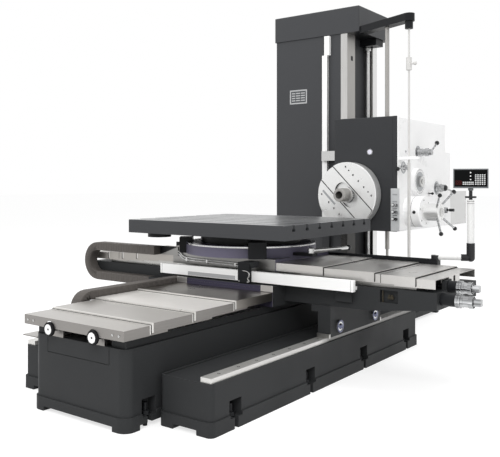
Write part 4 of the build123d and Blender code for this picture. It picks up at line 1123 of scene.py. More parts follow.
@dataclass
class Covers:
    """Telescopic covers over the bed ways and the cross ways."""

    cross_half: float = 0.316
    cross_top: float = 0.669
    cross_step: float = 0.0085
    cross_side_step: float = 0.003
    cross_wiper_rise: float = 0.006
    rear_lip_band: float = 0.006
    past_middle: float = 0.45
    screw_radius: float = 0.006
    screw_height: float = 0.003
    stop_lines: tuple[tuple[str, float], ...] = (("right_cover_2", 0.206), ("left_cover_2", 0.110))
    end_screw_places: tuple[float, ...] = (-0.345, -0.300, 0.300, 0.345)
    end_screw_height: float = 0.474

    def shade(self) -> None:
        """Paints shade on the skirts, the left cross covers and the front section, and highlights on the covers' end
        faces.
        """
        past = self.past_middle
        # Painted shade on the skirts.
        for node in ("bed_covers", "front_cover_2", "front_cover_3", "rear_cover_2"):
            touch(node, COVER_SKIRT_SHADE, lambda m, n: abs(n.z) < STEEP)
        touch("saddle_covers", CROSS_COVER_STEEL, lambda m, n: m.x > past)
        # Painted shade on the left cross covers.
        touch("saddle_covers", CROSS_COVER_SHADE, lambda m, n: m.x < -past)
        touch("slide_covers", CROSS_COVER_SHADE, lambda m, n: m.x < -past)
        # Painted shade on the saddle's front section.
        touch("saddle_covers", COVER_SHADE, lambda m, n: m.y < -past)
        # Painted highlights on the covers' end faces.
        for node in ("front_cover_2", "front_cover_3", "rear_cover_2", "saddle_covers"):
            touch(node, EDGE_HIGHLIGHT, lambda m, n: abs(n.y) > FACING and abs(m.y) > past)

    def bed_sections(self) -> list[CoverSection]:
        """Lists the sections over the bed that have a lip.

        Returns:
            The sections, those in front of the saddle first.
        """
        front_2, front_3 = (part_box(f"front_cover_{n}")[0].y for n in (2, 3))
        rear_2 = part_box("rear_cover_2")[1].y
        return [
            CoverSection("front_cover_2", "front_cover_2", Lie.Y, front_2, 1, 1),
            CoverSection("front_cover_3", "front_cover_3", Lie.Y, front_3, 1, 2),
            CoverSection("saddle_front_cover", "saddle", Lie.Y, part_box("saddle_covers")[0].y, 1, 3),
            CoverSection("rear_cover_2", "rear_cover_2", Lie.Y, rear_2, -1, 1, lip_band=self.rear_lip_band),
            CoverSection("saddle_rear_cover", "saddle", Lie.Y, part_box("saddle_covers")[1].y, -1, 2),
        ]

    def cross_sections(self) -> list[CoverSection]:
        """Lists the sections over the cross ways that have a lip.

        Returns:
            The sections, those that ride on the cross slide first.
        """
        low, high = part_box("slide_covers")
        lips = [("slide_left_cover", "cross_slide", low.x, 1, 3), ("slide_right_cover", "cross_slide", high.x, -1, 3)]
        for number in (2, 3):
            name = f"right_cover_{number}"
            lips.append((name, name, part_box(name)[1].x, -1, number - 1))
            name = f"left_cover_{number}"
            lips.append((name, name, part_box(name)[0].x, 1, number - 1))
        sizes = {"step": self.cross_step, "side_step": self.cross_side_step, "wiper_rise": self.cross_wiper_rise,
                 "foot": 0.0, "finish": CROSS_COVER_STEEL, "base_half": self.cross_half, "base_top": self.cross_top}
        made = [CoverSection(name, body, Lie.X, lip, inward, level, **sizes) for name, body, lip, inward, level in lips]
        for section in made:
            section.stop_line = dict(self.stop_lines).get(section.name)
        return made

    def build_end_screws(self) -> None:
        """Sets the small screws of the front end plate."""
        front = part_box("bed_covers")[0].y
        places = [(x, front, self.end_screw_height) for x in self.end_screw_places]
        screws = copies(screw(self.screw_radius, self.screw_height, Lie.BACK_Y), places, "end_plate_screws")
        ready(screws, BRIGHT_STEEL, "base")

    def build(self) -> None:
        """Builds the trim of every section."""
        self.shade()
        for section in self.bed_sections() + self.cross_sections():
            section.build()
        self.build_end_screws()


@dataclass
class Buffers:
    """Pair of rubber-tyred buffer wheels at the front end of the covers."""

    spacing: float = 0.332
    height: float = 0.445
    tyre: float = 0.037
    width: float = 0.022
    disc: float = 0.027
    stem: float = 0.015
    screw_radius: float = 0.0048
    screw_height: float = 0.003
    screw_sunk: float = 0.0045

    def build(self) -> None:
        """Builds tyres, pale discs, stems and screws in place of the plain solids."""
        low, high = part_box("cover_buffers")
        w, r, d = self.width, self.tyre, self.disc
        places = [(side * self.spacing / 2, low.y + w, self.height) for side in (-1, 1)]
        profile = ((0, self.stem), (0, r - 0.006), (0.003, r - 0.001), (0.006, r), (w - 0.006, r),
                   (w - 0.002, r - 0.003), (w, d + 0.002), (w - 0.004, d), (w - 0.004, self.stem))
        tyres = copies(turned("tyre", profile, ORIGIN, Lie.BACK_Y), places, "buffer_tyres")
        ready(tyres, RUBBER, "base")
        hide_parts("cover_buffers")
        profile = ((w - 0.008, d - 0.0005), (w - 0.002, d - 0.0005), (w - 0.001, d - 0.003), (w - 0.001, d * 0.5),
                   (w - 0.0025, d * 0.42), (w - 0.0025, 0.006), (w - 0.004, 0.005), (w - 0.004, 0))
        discs = copies(turned("disc", profile, ORIGIN, Lie.BACK_Y), places, "buffer_discs")
        ready(discs, SCALE_WHITE, "base")
        profile = ((-(high.y - low.y - w), self.stem), (0.002, self.stem), (0.004, self.stem - 0.002), (0.004, 0))
        stems = copies(turned("stem", profile, ORIGIN, Lie.BACK_Y), places, "buffer_stems")
        ready(stems, BLACK_STEEL, "base")
        spots = [(x, y - w + self.screw_sunk, z) for x, y, z in places]
        dots = copies(screw(self.screw_radius, self.screw_height, Lie.BACK_Y), spots, "buffer_screws")
        ready(dots, BLACK_STEEL, "base")


@dataclass
class Bed:
    """Bed, support beds and their rails."""

    rail_screw_pitch: float = 0.155
    rail_screw_inset: float = 0.060
    rail_screw_radius: float = 0.009
    rail_screw_height: float = 0.002
    rail_screw_sunk: float = 0.0018
    rail_inner: float = 0.630

    def build(self) -> None:
        """Sets the screws along the support rails, paints the sides of the ways and builds the buffers."""
        low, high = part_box("support_rails")
        x = (self.rail_inner + high.x) / 2
        count = int((high.y - low.y - 2 * self.rail_screw_inset) / self.rail_screw_pitch)
        start = (low.y + high.y - count * self.rail_screw_pitch) / 2
        z = high.z - self.rail_screw_sunk
        places = [(side * x, start + n * self.rail_screw_pitch, z) for side in (-1, 1) for n in range(count + 1)]
        screws = copies(screw(self.rail_screw_radius, self.rail_screw_height, Lie.Z), places, "rail_screws")
        ready(screws, BLACK_STEEL, "base")
        touch("bed_guideways", BED_PAINT, lambda m, n: n.z < STEEP)
        Buffers().build()


@dataclass
class Column:
    """Column with its plate, its ways, its scale and the lifting screw.

    The mark on the way is given as front, back, bottom and top.
    """

    plate_left: float = -0.762
    plate_right: float = -0.577
    plate_bottom: float = 1.920
    plate_top: float = 2.049
    plate_thick: float = 0.0016
    rivet: float = 0.004
    rivet_inset: float = 0.008
    field_inset: float = 0.012
    field_thick: float = 0.0014
    field_columns: tuple[tuple[float, float], ...] = ((-0.070, -0.034), (-0.026, 0.018), (0.026, 0.070))
    field_rows: tuple[float, ...] = (-1.5, -0.5, 0.5, 1.5)
    field_pitch: float = 0.022
    screw_root: float = 0.0195
    screw_crest: float = 0.024
    screw_pitch: float = 0.010
    turn_steps: int = 12
    collar_height: float = 0.030
    scale_width: float = 0.050
    scale_joint: float = 2.330
    way_mark: tuple[float, float, float, float] = (1.570, 1.608, 2.277, 2.318)
    guard_top: float = 0.860
    rear_way: float = 1.8

    def build_plate(self) -> None:
        """Fixes a plate with a raised rim and blank fields to the column's front."""
        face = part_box("column")[0].y
        plate = block("rating_plate", (self.plate_left, face - self.plate_thick, self.plate_bottom),
                      (self.plate_right, face, self.plate_top))
        sink(plate, Lie.BACK_Y, 0.004, 0.0006)
        ready(plate, PLATE_PALE, "base")
        inset = self.field_inset
        field = block("plate_field", (self.plate_left + inset, face - self.field_thick, self.plate_bottom + inset),
                      (self.plate_right - inset, face, self.plate_top - inset))
        ready(sink(field, Lie.BACK_Y, 0.002, 0.0002), PLATE_FIELD, "base")
        x, z = (self.plate_left + self.plate_right) / 2, (self.plate_bottom + self.plate_top) / 2
        made = []
        for left, right in self.field_columns:
            line = sink(block("line", (left, -0.0018, -0.005), (right, -0.001, 0.005)), Lie.BACK_Y, 0.001, 0.0002)
            rows = [(x, face, z + n * self.field_pitch) for n in self.field_rows]
            made.append(copies(line, rows, "column_of_fields"))
        ready(joined(made, "plate_blank_fields"), PLATE_PALE, "base")
        inset = self.rivet_inset
        places = [(x, face - self.plate_thick, z) for x in (self.plate_left + inset, self.plate_right - inset)
                  for z in (self.plate_bottom + inset, self.plate_top - inset)]
        dome = ((0, self.rivet), (0.001, self.rivet * 0.8), (0.0015, self.rivet * 0.4), (0.0016, 0))
        rivets = copies(turned("rivet", dome, ORIGIN, Lie.BACK_Y, 12), places, "plate_rivets")
        ready(rivets, BRIGHT_STEEL, "base")

    def build_screw(self) -> None:
        """Cuts the thread of the lifting screw in place of its plain solid."""
        low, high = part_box("elevating_screw")
        centre = middle_of("elevating_screw")
        pitch, root, crest = self.screw_pitch, self.screw_root, self.screw_crest
        length = high.z - low.z
        foot = (centre.x, centre.y, low.z)
        thread = drawn(((0, root), (0.25 * pitch, root), (0.4 * pitch, crest), (0.75 * pitch, crest),
                        (0.9 * pitch, root), (pitch, root)))
        applied(thread, "SCREW", axis="Z", angle=2 * math.pi, screw_offset=pitch, iterations=int(length / pitch) - 1,
                steps=self.turn_steps, render_steps=self.turn_steps, use_merge_vertices=True,
                merge_threshold=MERGE_GAP, use_normal_calculate=True)
        thread.data.transform(Matrix.Translation(foot))
        profile = ((0, 0), (0, root), (length - 0.001, root), (length, root - 0.001), (length, 0))
        core = turned("core", profile, foot, Lie.Z, 24)
        collar, tall = (high - low).x / 2, self.collar_height
        profile = ((0, root), (0, collar - 0.002), (0.002, collar), (tall - 0.002, collar), (tall, collar - 0.002),
                   (tall, root))
        rings = [turned("collar", profile, (centre.x, centre.y, z), Lie.Z, 32) for z in (low.z, high.z - tall)]
        whole = joined([thread, core, *rings], "lifting_screw")
        ready(whole, SCREW_STEEL, "elevating_screw")
        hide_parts("elevating_screw")

    def build_scale(self) -> None:
        """Adds the seal and the foot guard of the vertical scale, marks the ways, paints shade and light on their right
        faces and shades the cap.
        """
        low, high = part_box("vertical_scale")
        right = low.x + self.scale_width
        seal = block("vertical_scale_seal", (right - 0.0005, low.y + 0.010, low.z + 0.03),
                     (right + 0.001, low.y + 0.020, self.scale_joint - 0.01))
        ready(eased(seal, 0.0004, 1), RUBBER, "base")
        guard = block("scale_foot_guard", (low.x - 0.002, low.y - 0.002, low.z + 0.002),
                      (high.x + 0.002, high.y - 0.0005, self.guard_top))
        ready(sink(eased(guard, 0.002, 2), Lie.BACK_Y, 0.006, 0.001), HEAD_PAINT, "base")
        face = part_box("column_guideways")[1].x
        front, back, bottom, top = self.way_mark
        mark = eased(block("way_mark", (face - 0.001, front, bottom), (face + 0.00012, back, top)), 0.0001, 1)
        ready(sink(mark, Lie.X, 0.006, 0.00005), BLACK_STEEL, "base")
        # Painted shade on the right faces of the front ways; painted light on those of the rear way, in the screw
        # steel.
        touch("column_guideways", COLUMN_SIDE_SHADE, lambda m, n: n.x > FACING)
        touch("column_guideways", SCREW_STEEL, lambda m, n: n.x > FACING and m.y > self.rear_way)
        column_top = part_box("column")[1].z
        touch("column_cap", BLACK_STEEL, lambda m, n: m.z < column_top + 0.0005)

    def build(self) -> None:
        """Builds the column's trim."""
        self.build_plate()
        self.build_screw()
        self.build_scale()


@dataclass
class Turntable:
    """Rotary table, its ring and the pieces under it."""

    ring: float = 0.450
    rim_height: float = 0.012
    tick_count: int = 120
    ring_top: float = 0.790
    table_face: float = 0.943
    table_under: float = 0.854

    def shade(self, centre: Vector) -> None:
        """Gives the table its ground top, paints shade as black under it and over the base's ring, and blackens the
        clamp blocks.

        Args:
            centre: the table's middle.
        """
        touch("rotary_table", TABLE_TOP, lambda m, n: n.z > SQUARE and m.z > self.table_face - 0.001)
        # Painted shade: the table's boss below its underside in black.
        touch("rotary_table", BLACK_STEEL, lambda m, n: m.z < self.table_under - 0.0005)
        outside = self.ring + 0.0015
        # Painted shade: the base's faces above the ring, under the table, in black; the clamp blocks outside the ring
        # are black of their own.
        touch("turntable_base", BLACK_STEEL, lambda m, n: m.z > self.ring_top + 0.0005
              or math.hypot(m.x - centre.x, m.y - centre.y) > outside)

    def build(self) -> None:
        """Builds the bright rim with its degree marks."""
        centre = middle_of("rotary_table")
        self.shade(centre)
        spot = (centre.x, centre.y, self.ring_top)
        r, h = self.ring, self.rim_height
        rim = turned("turntable_rim", ((-h, r - 0.004), (-h, r + 0.0008), (-0.003, r + 0.0008), (0.0002, r - 0.003),
                                       (0.0002, r - 0.030), (-0.002, r - 0.032)), spot, Lie.Z, 128)
        ready(rim, BRIGHT_STEEL, "cross_slide")
        tick = eased(block("tick", (r + 0.0006, -0.0005, -h * 0.85), (r + 0.0012, 0.0005, -h * 0.35)), 0.0001, 1)
        ready(copies(tick, ringed(spot, "Z", self.tick_count), "degree_marks"), INK, "cross_slide")


@dataclass
class Saddle:
    """Saddle with its scale bar, hand shafts, rollers and cable tray.

    The pocket and the bare plate are given as left, right, bottom and top.
    """

    cap_length: float = 0.014
    cap_proud: float = 0.001
    scale_depth: float = 0.030
    line_width: float = 0.0015
    pocket: tuple[float, float, float, float] = (1.030, 1.140, 0.520, 0.590)
    wing_face: float = -0.318
    wing_end: float = 1.365
    sleeves: tuple[float, float] = (0.084, 0.051)
    collar: float = 0.029
    ring: float = 0.038
    mark_count: int = 40
    shaft_tip: float = 0.040
    tray_bolt_inset: float = 0.05
    tray_bolt_drop: float = 0.014
    tray_bolt_pitch: float = 0.185
    tray_back: float = 0.336
    bare_plate: tuple[float, float, float, float] = (-0.329, 0.069, 0.579, 0.603)
    way_wipers: tuple[tuple[str, float, float], ...] = (("left", -0.389, -0.300), ("right", 0.300, 0.389))
    way_wiper_heights: tuple[float, float] = (0.5315, 0.570)

    def build_scale_bar(self) -> None:
        """Adds the end caps, their joint lines, the dark lip seal and the bare plate of the scale bar."""
        low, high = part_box("cross_scale")
        back = low.y + self.scale_depth
        p, length, wide = self.cap_proud, self.cap_length, self.line_width
        for name, start, end in (("left", low.x - p, low.x + length), ("right", high.x - length, high.x + p)):
            cap = block(f"scale_cap_{name}", (start, low.y - p, low.z - p), (end, back + p, high.z + p))
            ready(eased(cap, 0.002, 2), SCALE_WHITE, "saddle")
        lines = [eased(block("line", (x, low.y - 0.0004, low.z), (x + wide, back, high.z + 0.0004)), 0.0002, 1)
                 for x in (low.x + length, high.x - length - wide)]
        seal = block("seal", (low.x + length, low.y + 0.004, low.z - 0.002),
                     (high.x - length, low.y + 0.012, low.z + 0.001))
        ready(joined([*lines, eased(seal, 0.0005, 1)], "scale_bar_seal"), RUBBER, "saddle")
        left, right, bottom, top = self.bare_plate
        plate = block("scale_bar_plate", (left, low.y - 0.0012, bottom), (right, low.y + 0.001, top))
        sink(eased(plate, 0.0005, 1), Lie.BACK_Y, 0.003, 0.0004)
        ready(plate, PLATE_PALE, "saddle")

    def build_pocket(self) -> None:
        """Fits the dark distributor and its pipe into the pocket of the right wing."""
        left, right, bottom, top = self.pocket
        y = self.wing_face + 0.012
        body = block("distributor", (left + 0.045, y - 0.006, bottom + 0.020),
                     (right - 0.030, y + 0.010, bottom + 0.036))
        sink(eased(body, 0.003, 2), Lie.BACK_Y, 0.004, -0.003)
        profile = ((0, 0.003), (0, 0.006), (0.008, 0.006), (0.010, 0.005), (0.010, 0.003))
        nuts = [turned("nut", profile, (left + x, y, bottom + 0.036), Lie.Z, 6) for x in (0.054, 0.070)]
        ready(joined([body, *nuts], "oil_distributor"), BRASS, "saddle")
        line = [(left + 0.014, y, top - 0.001), (left + 0.014, y, top - 0.03), (left + 0.014, y, bottom + 0.03),
                (left + 0.014, y, bottom)]
        pipe = tube("oil_drop_pipe", line, 0.004)
        ready(pipe, BRASS, "saddle")

    def build_shafts(self) -> None:
        """Turns the graduated rings of the two hand shafts and blackens their sleeves."""
        for node, sleeve in zip(("crank_lower", "crank_upper"), self.sleeves):
            axis = middle_of(node)
            end = self.wing_end + sleeve
            touch(node, BLACK_STEEL, lambda m, n: m.x < end - 0.001)
            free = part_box(node)[1].x - self.shaft_tip - end
            r, c = self.ring, self.collar
            profile = [(0, c - 0.002), (0, r - 0.001), (0.001, r), (0.013, r), (0.014, r - 0.003), (0.017, r - 0.003),
                       (0.018, r), (0.026, r), (0.028, r - 0.006), (0.040, r - 0.006), (0.041, c + 0.001),
                       (free * 0.75, c + 0.001), (free * 0.75, c + 0.005), (free - 0.002, c + 0.005), (free, c + 0.003),
                       (free, c - 0.006)]
            rings = turned(f"{node}_rings", profile, (end, axis.y, axis.z), Lie.X, 48)
            ready(rings, CHROME, node)
            tick = block("tick", (-0.004, -0.0004, r - 0.0002), (0.004, 0.0004, r + 0.0003))
            marks = ringed((end + 0.007, axis.y, axis.z), "X", self.mark_count)
            ready(copies(eased(tick, 0.0001, 1), marks, f"{node}_marks"), INK, node)

    def build_rollers(self) -> None:
        """Turns dished caps onto the ends of the roller axles."""
        profile = ((-0.001, 0.038), (0.001, 0.038), (0.002, 0.036), (0.002, 0.029), (-0.001, 0.026),
                   (-0.001, 0.019), (0.003, 0.016), (0.008, 0.013), (0.010, 0.008), (0.0105, 0))
        for node in ("front_rollers", "rear_rollers"):
            end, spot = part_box(node)[1].x, middle_of(node)
            for where, x, lie in (("right", end, Lie.X), ("left", -end, Lie.BACK_X)):
                cap = turned(f"{node}_cap_{where}", profile, (x, spot.y, spot.z), lie)
                # Roller caps in painted reflection.
                ready(cap, ROLLER_STEEL_REFLECTION, node)

    def build_tray_bolts(self) -> None:
        """Sets the bolts along the back of the cable tray, clear of the cross slide."""
        low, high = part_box("rear_cable_tray")
        start, z = low.x + self.tray_bolt_inset, high.z - self.tray_bolt_drop
        count = int((high.x - low.x - 2 * self.tray_bolt_inset) / self.tray_bolt_pitch)
        places = [(start + n * self.tray_bolt_pitch, self.tray_back, z) for n in range(count + 1)]
        ready(copies(screw(0.009, 0.008, Lie.Y), places, "tray_bolts"), BLACK_STEEL, "saddle")

    def build_front(self) -> None:
        """Paints the saddle's front in the slide's colour, darkened as painted shade, and sets the pale wiper plates
        over the bed ways.
        """
        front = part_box("saddle")[0].y
        # Painted shade: the saddle's front and the wipers' front in a darkened copy of the slide's purple.
        touch("saddle", SADDLE_PAINT_SHADE, lambda m, n: n.y < -FACING and m.y < front + 0.002)
        touch("saddle_wipers", SADDLE_PAINT_SHADE, lambda m, n: n.y < -FACING and m.y < front)
        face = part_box("saddle_wipers")[0].y
        bottom, top = self.way_wiper_heights
        for name, left, right in self.way_wipers:
            plate = block(f"way_wiper_{name}", (left, face - 0.002, bottom), (right, face + 0.004, top))
            sink(eased(plate, 0.001, 1), Lie.BACK_Y, 0.006, 0.0006)
            ready(plate, CROSS_COVER_STEEL, "saddle")

    def build(self) -> None:
        """Builds the saddle's trim."""
        self.build_front()
        self.build_scale_bar()
        self.build_pocket()
        self.build_shafts()
        self.build_rollers()
        self.build_tray_bolts()


@dataclass
class CrossSlide:
    """Cross slide with its oil pipes and the lead of the scale reader."""

    front: float = -0.334
    top: float = 0.714
    pipe: float = 0.004
    pipe_proud: float = 0.006
    pipe_drops: tuple[float, ...] = (0.0, 0.016)
    clip_spots: tuple[tuple[float, float], ...] = ((-0.400, 0.673), (-0.220, 0.671), (0.020, 0.665))
    lead: float = 0.0038
    lead_proud: float = 0.005
    reader_screws: tuple[tuple[float, float], ...] = ((0.124, 0.578), (0.190, 0.578))
    reader_thick: float = 0.027

    def build_pipes(self) -> None:
        """Bends the two oil pipes and fits their clips."""
        y = self.front
        near = y - self.pipe_proud
        for number, drop in enumerate(self.pipe_drops, 1):
            line = [(-0.500, y, 0.726 - drop), (-0.470, near, 0.722 - drop), (-0.440, near, 0.690 - drop),
                    (-0.400, near, 0.682 - drop), (-0.220, near, 0.680 - drop), (0.020, near, 0.674 - drop),
                    (0.060, near, 0.672 - drop), (0.070, y - 0.002, 0.655 - drop), (0.072, y + 0.004, 0.652 - drop)]
            ready(tube(f"oil_pipe_{number}", line, self.pipe), PALE_TUBE, "cross_slide")
        clip = eased(block("clip", (-0.008, -0.012, -0.016), (0.008, 0.002, 0.012)), 0.002, 2)
        sink(clip, Lie.BACK_Y, 0.003, 0.0015)
        clips = copies(clip, [(x, y, z) for x, z in self.clip_spots], "oil_pipe_clips")
        ready(clips, BRIGHT_STEEL, "cross_slide")

    def build_reader(self) -> None:
        """Bends the lead of the scale reader, sets its screws and paints its back."""
        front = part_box("scale_reader")[0].y
        near = front - self.lead_proud
        lead = [(0.150, front + 0.004, 0.644), (0.152, near, 0.645), (0.190, near, 0.644), (0.207, near, 0.632),
                (0.203, near, 0.610), (0.192, near, 0.596), (0.205, near, 0.586), (0.203, near, 0.577),
                (0.190, near, 0.576), (0.182, front + 0.004, 0.578)]
        ready(tube("reader_lead", lead, self.lead), BRIGHT_STEEL, "cross_slide")
        spots = [(x, front, z) for x, z in self.reader_screws]
        screws = copies(screw(0.005, 0.003, Lie.BACK_Y), spots, "reader_screws")
        ready(screws, BRIGHT_STEEL, "cross_slide")
        touch("scale_reader", HEAD_PAINT, lambda m, n: m.y > front + self.reader_thick)

    def build(self) -> None:
        """Builds the slide's trim and shades its faces."""
        self.build_pipes()
        self.build_reader()
        touch("cross_slide", WAY_SIDE, lambda m, n: n.z > FACING or n.y < -FACING)
        touch("cross_slide", BLACK_STEEL, lambda m, n: m.z > self.top + 0.001)


@dataclass
class Headstock:
    """Headstock front, its faceplate, its sight glass and the switch panel.

    The strip is given as left, right, bottom and top on the faceplate's own front, the glass as x and z, and the grey
    corner of the housing as y and z.
    """

    glass_spot: tuple[float, float] = (0.164, 1.449)
    glass_radius: float = 0.020
    plate_front: float = 1.181
    plate_height: float = 1.096
    groove_limit: float = 0.262
    screw_row: float = 0.160
    screw_reach: float = 0.124
    lamp_x: float = 0.372
    label_x: float = 0.390
    lamp_rows: tuple[float, ...] = (0.904, 0.960, 1.016)
    label_rise: float = 0.027
    top_label: float = 1.100
    panel_rim: float = 0.010
    strip: tuple[float, float, float, float] = (-0.180, -0.017, -0.1385, -0.1215)
    groove_depth: float = 0.014
    reader_face: float = -0.181
    reader_heights: tuple[float, float] = (1.385, 1.480)
    housing_front: float = 1.2905
    grey_corner: tuple[float, float] = (2.33, 1.1)

    def on_plate(self) -> Matrix:
        """Finds the place of the faceplate's own front, with X along its slide.

        Returns:
            The matrix from that front to the frame.
        """
        half = math.sqrt(0.5)
        axes = Matrix(((half, half, 0), (0, 0, -1), (-half, half, 0)))
        return Matrix.Translation((0, self.plate_front, self.plate_height)) @ axes.to_4x4()

    def shade(self) -> None:
        """Paints shade as black in the faceplate's grooves, darkens the housing's front, brightens the reader and greys
        the rear corner.
        """
        front, centre = self.plate_front, Vector((0, self.plate_height))
        # Painted shade: the grooves' steel floors in black.
        for node in ("faceplate", "facing_slide"):
            touch(node, BLACK_STEEL, lambda m, n: front + 0.0002 < m.y < front + self.groove_depth
                  and (Vector((m.x, m.z)) - centre).length < self.groove_limit)
        bottom, top = self.reader_heights
        touch("headstock", BRIGHT_STEEL, lambda m, n: m.x < self.reader_face and bottom < m.z < top)
        touch("side_housing", HEAD_PAINT, lambda m, n: n.y < -FACING and m.y < self.housing_front)
        behind, below = self.grey_corner
        touch("side_housing", HOUSING_GREY, lambda m, n: m.y > behind and m.z < below and n.x > 0.3)

    def build_plate(self) -> None:
        """Sets the screws and the bare scale strip on the faceplate."""
        places = [(side * self.screw_reach, self.screw_row, -0.0005) for side in (-1, 1)]
        screws = copies(screw(0.0062, 0.0015, Lie.Z), places, "plate_screws")
        screws.data.transform(self.on_plate())
        ready(screws, BLACK_STEEL, "faceplate")
        left, right, bottom, top = self.strip
        strip = block("plate_strip", (left, bottom, -0.0005), (right, top, 0.0012))
        sink(strip, Lie.Z, 0.0015, 0.0003)
        strip.data.transform(self.on_plate())
        ready(strip, PLATE_SILVER, "faceplate")

    def build_glass(self) -> None:
        """Turns the bright ring and the pale glass of the oil sight."""
        x, z = self.glass_spot
        spot = (x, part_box("headstock")[0].y, z)
        r = self.glass_radius
        profile = ((-0.002, r + 0.006), (0.003, r + 0.006), (0.005, r + 0.004), (0.005, r), (0.001, r - 0.001),
                   (-0.002, r - 0.001))
        ready(turned("sight_ring", profile, spot, Lie.BACK_Y), CHROME, "headstock")
        profile = ((-0.001, r), (0.0025, r - 0.0005), (0.0035, r * 0.6), (0.004, 0))
        ready(turned("sight_glass", profile, spot, Lie.BACK_Y), GLASS_OIL, "headstock")

    def build_panel(self) -> None:
        """Dresses the switch strip with bezels, plain caps and bare labels."""
        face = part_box("switch_panel")[0].y + self.panel_rim
        spots = [(self.lamp_x, face, z) for z in self.lamp_rows]
        profile = ((0, 0.0112), (0, 0.0145), (0.004, 0.0145), (0.005, 0.0132), (0.005, 0.0112))
        bezels = copies(turned("bezel", profile, ORIGIN, Lie.BACK_Y, 32), spots, "lamp_bezels")
        ready(bezels, BLACK_STEEL, "headstock")
        dome = ((0.0095, 0.0106), (0.0105, 0.0095), (0.0112, 0.006), (0.0114, 0))
        caps = copies(turned("cap", dome, ORIGIN, Lie.BACK_Y, 24), spots, "lamp_caps")
        ready(caps, KEY_GREY, "headstock")
        label = block("label", (-0.020, -0.0008, -0.005), (0.020, 0.0002, 0.005))
        sink(label, Lie.BACK_Y, 0.0015, 0.0003)
        heights = [z + self.label_rise for z in self.lamp_rows] + [self.top_label]
        ready(copies(label, [(self.label_x, face, z) for z in heights], "bare_labels"), PLATE_SILVER, "headstock")

    def build(self) -> None:
        """Builds the front's trim."""
        self.shade()
        self.build_plate()
        self.build_glass()
        self.build_panel()


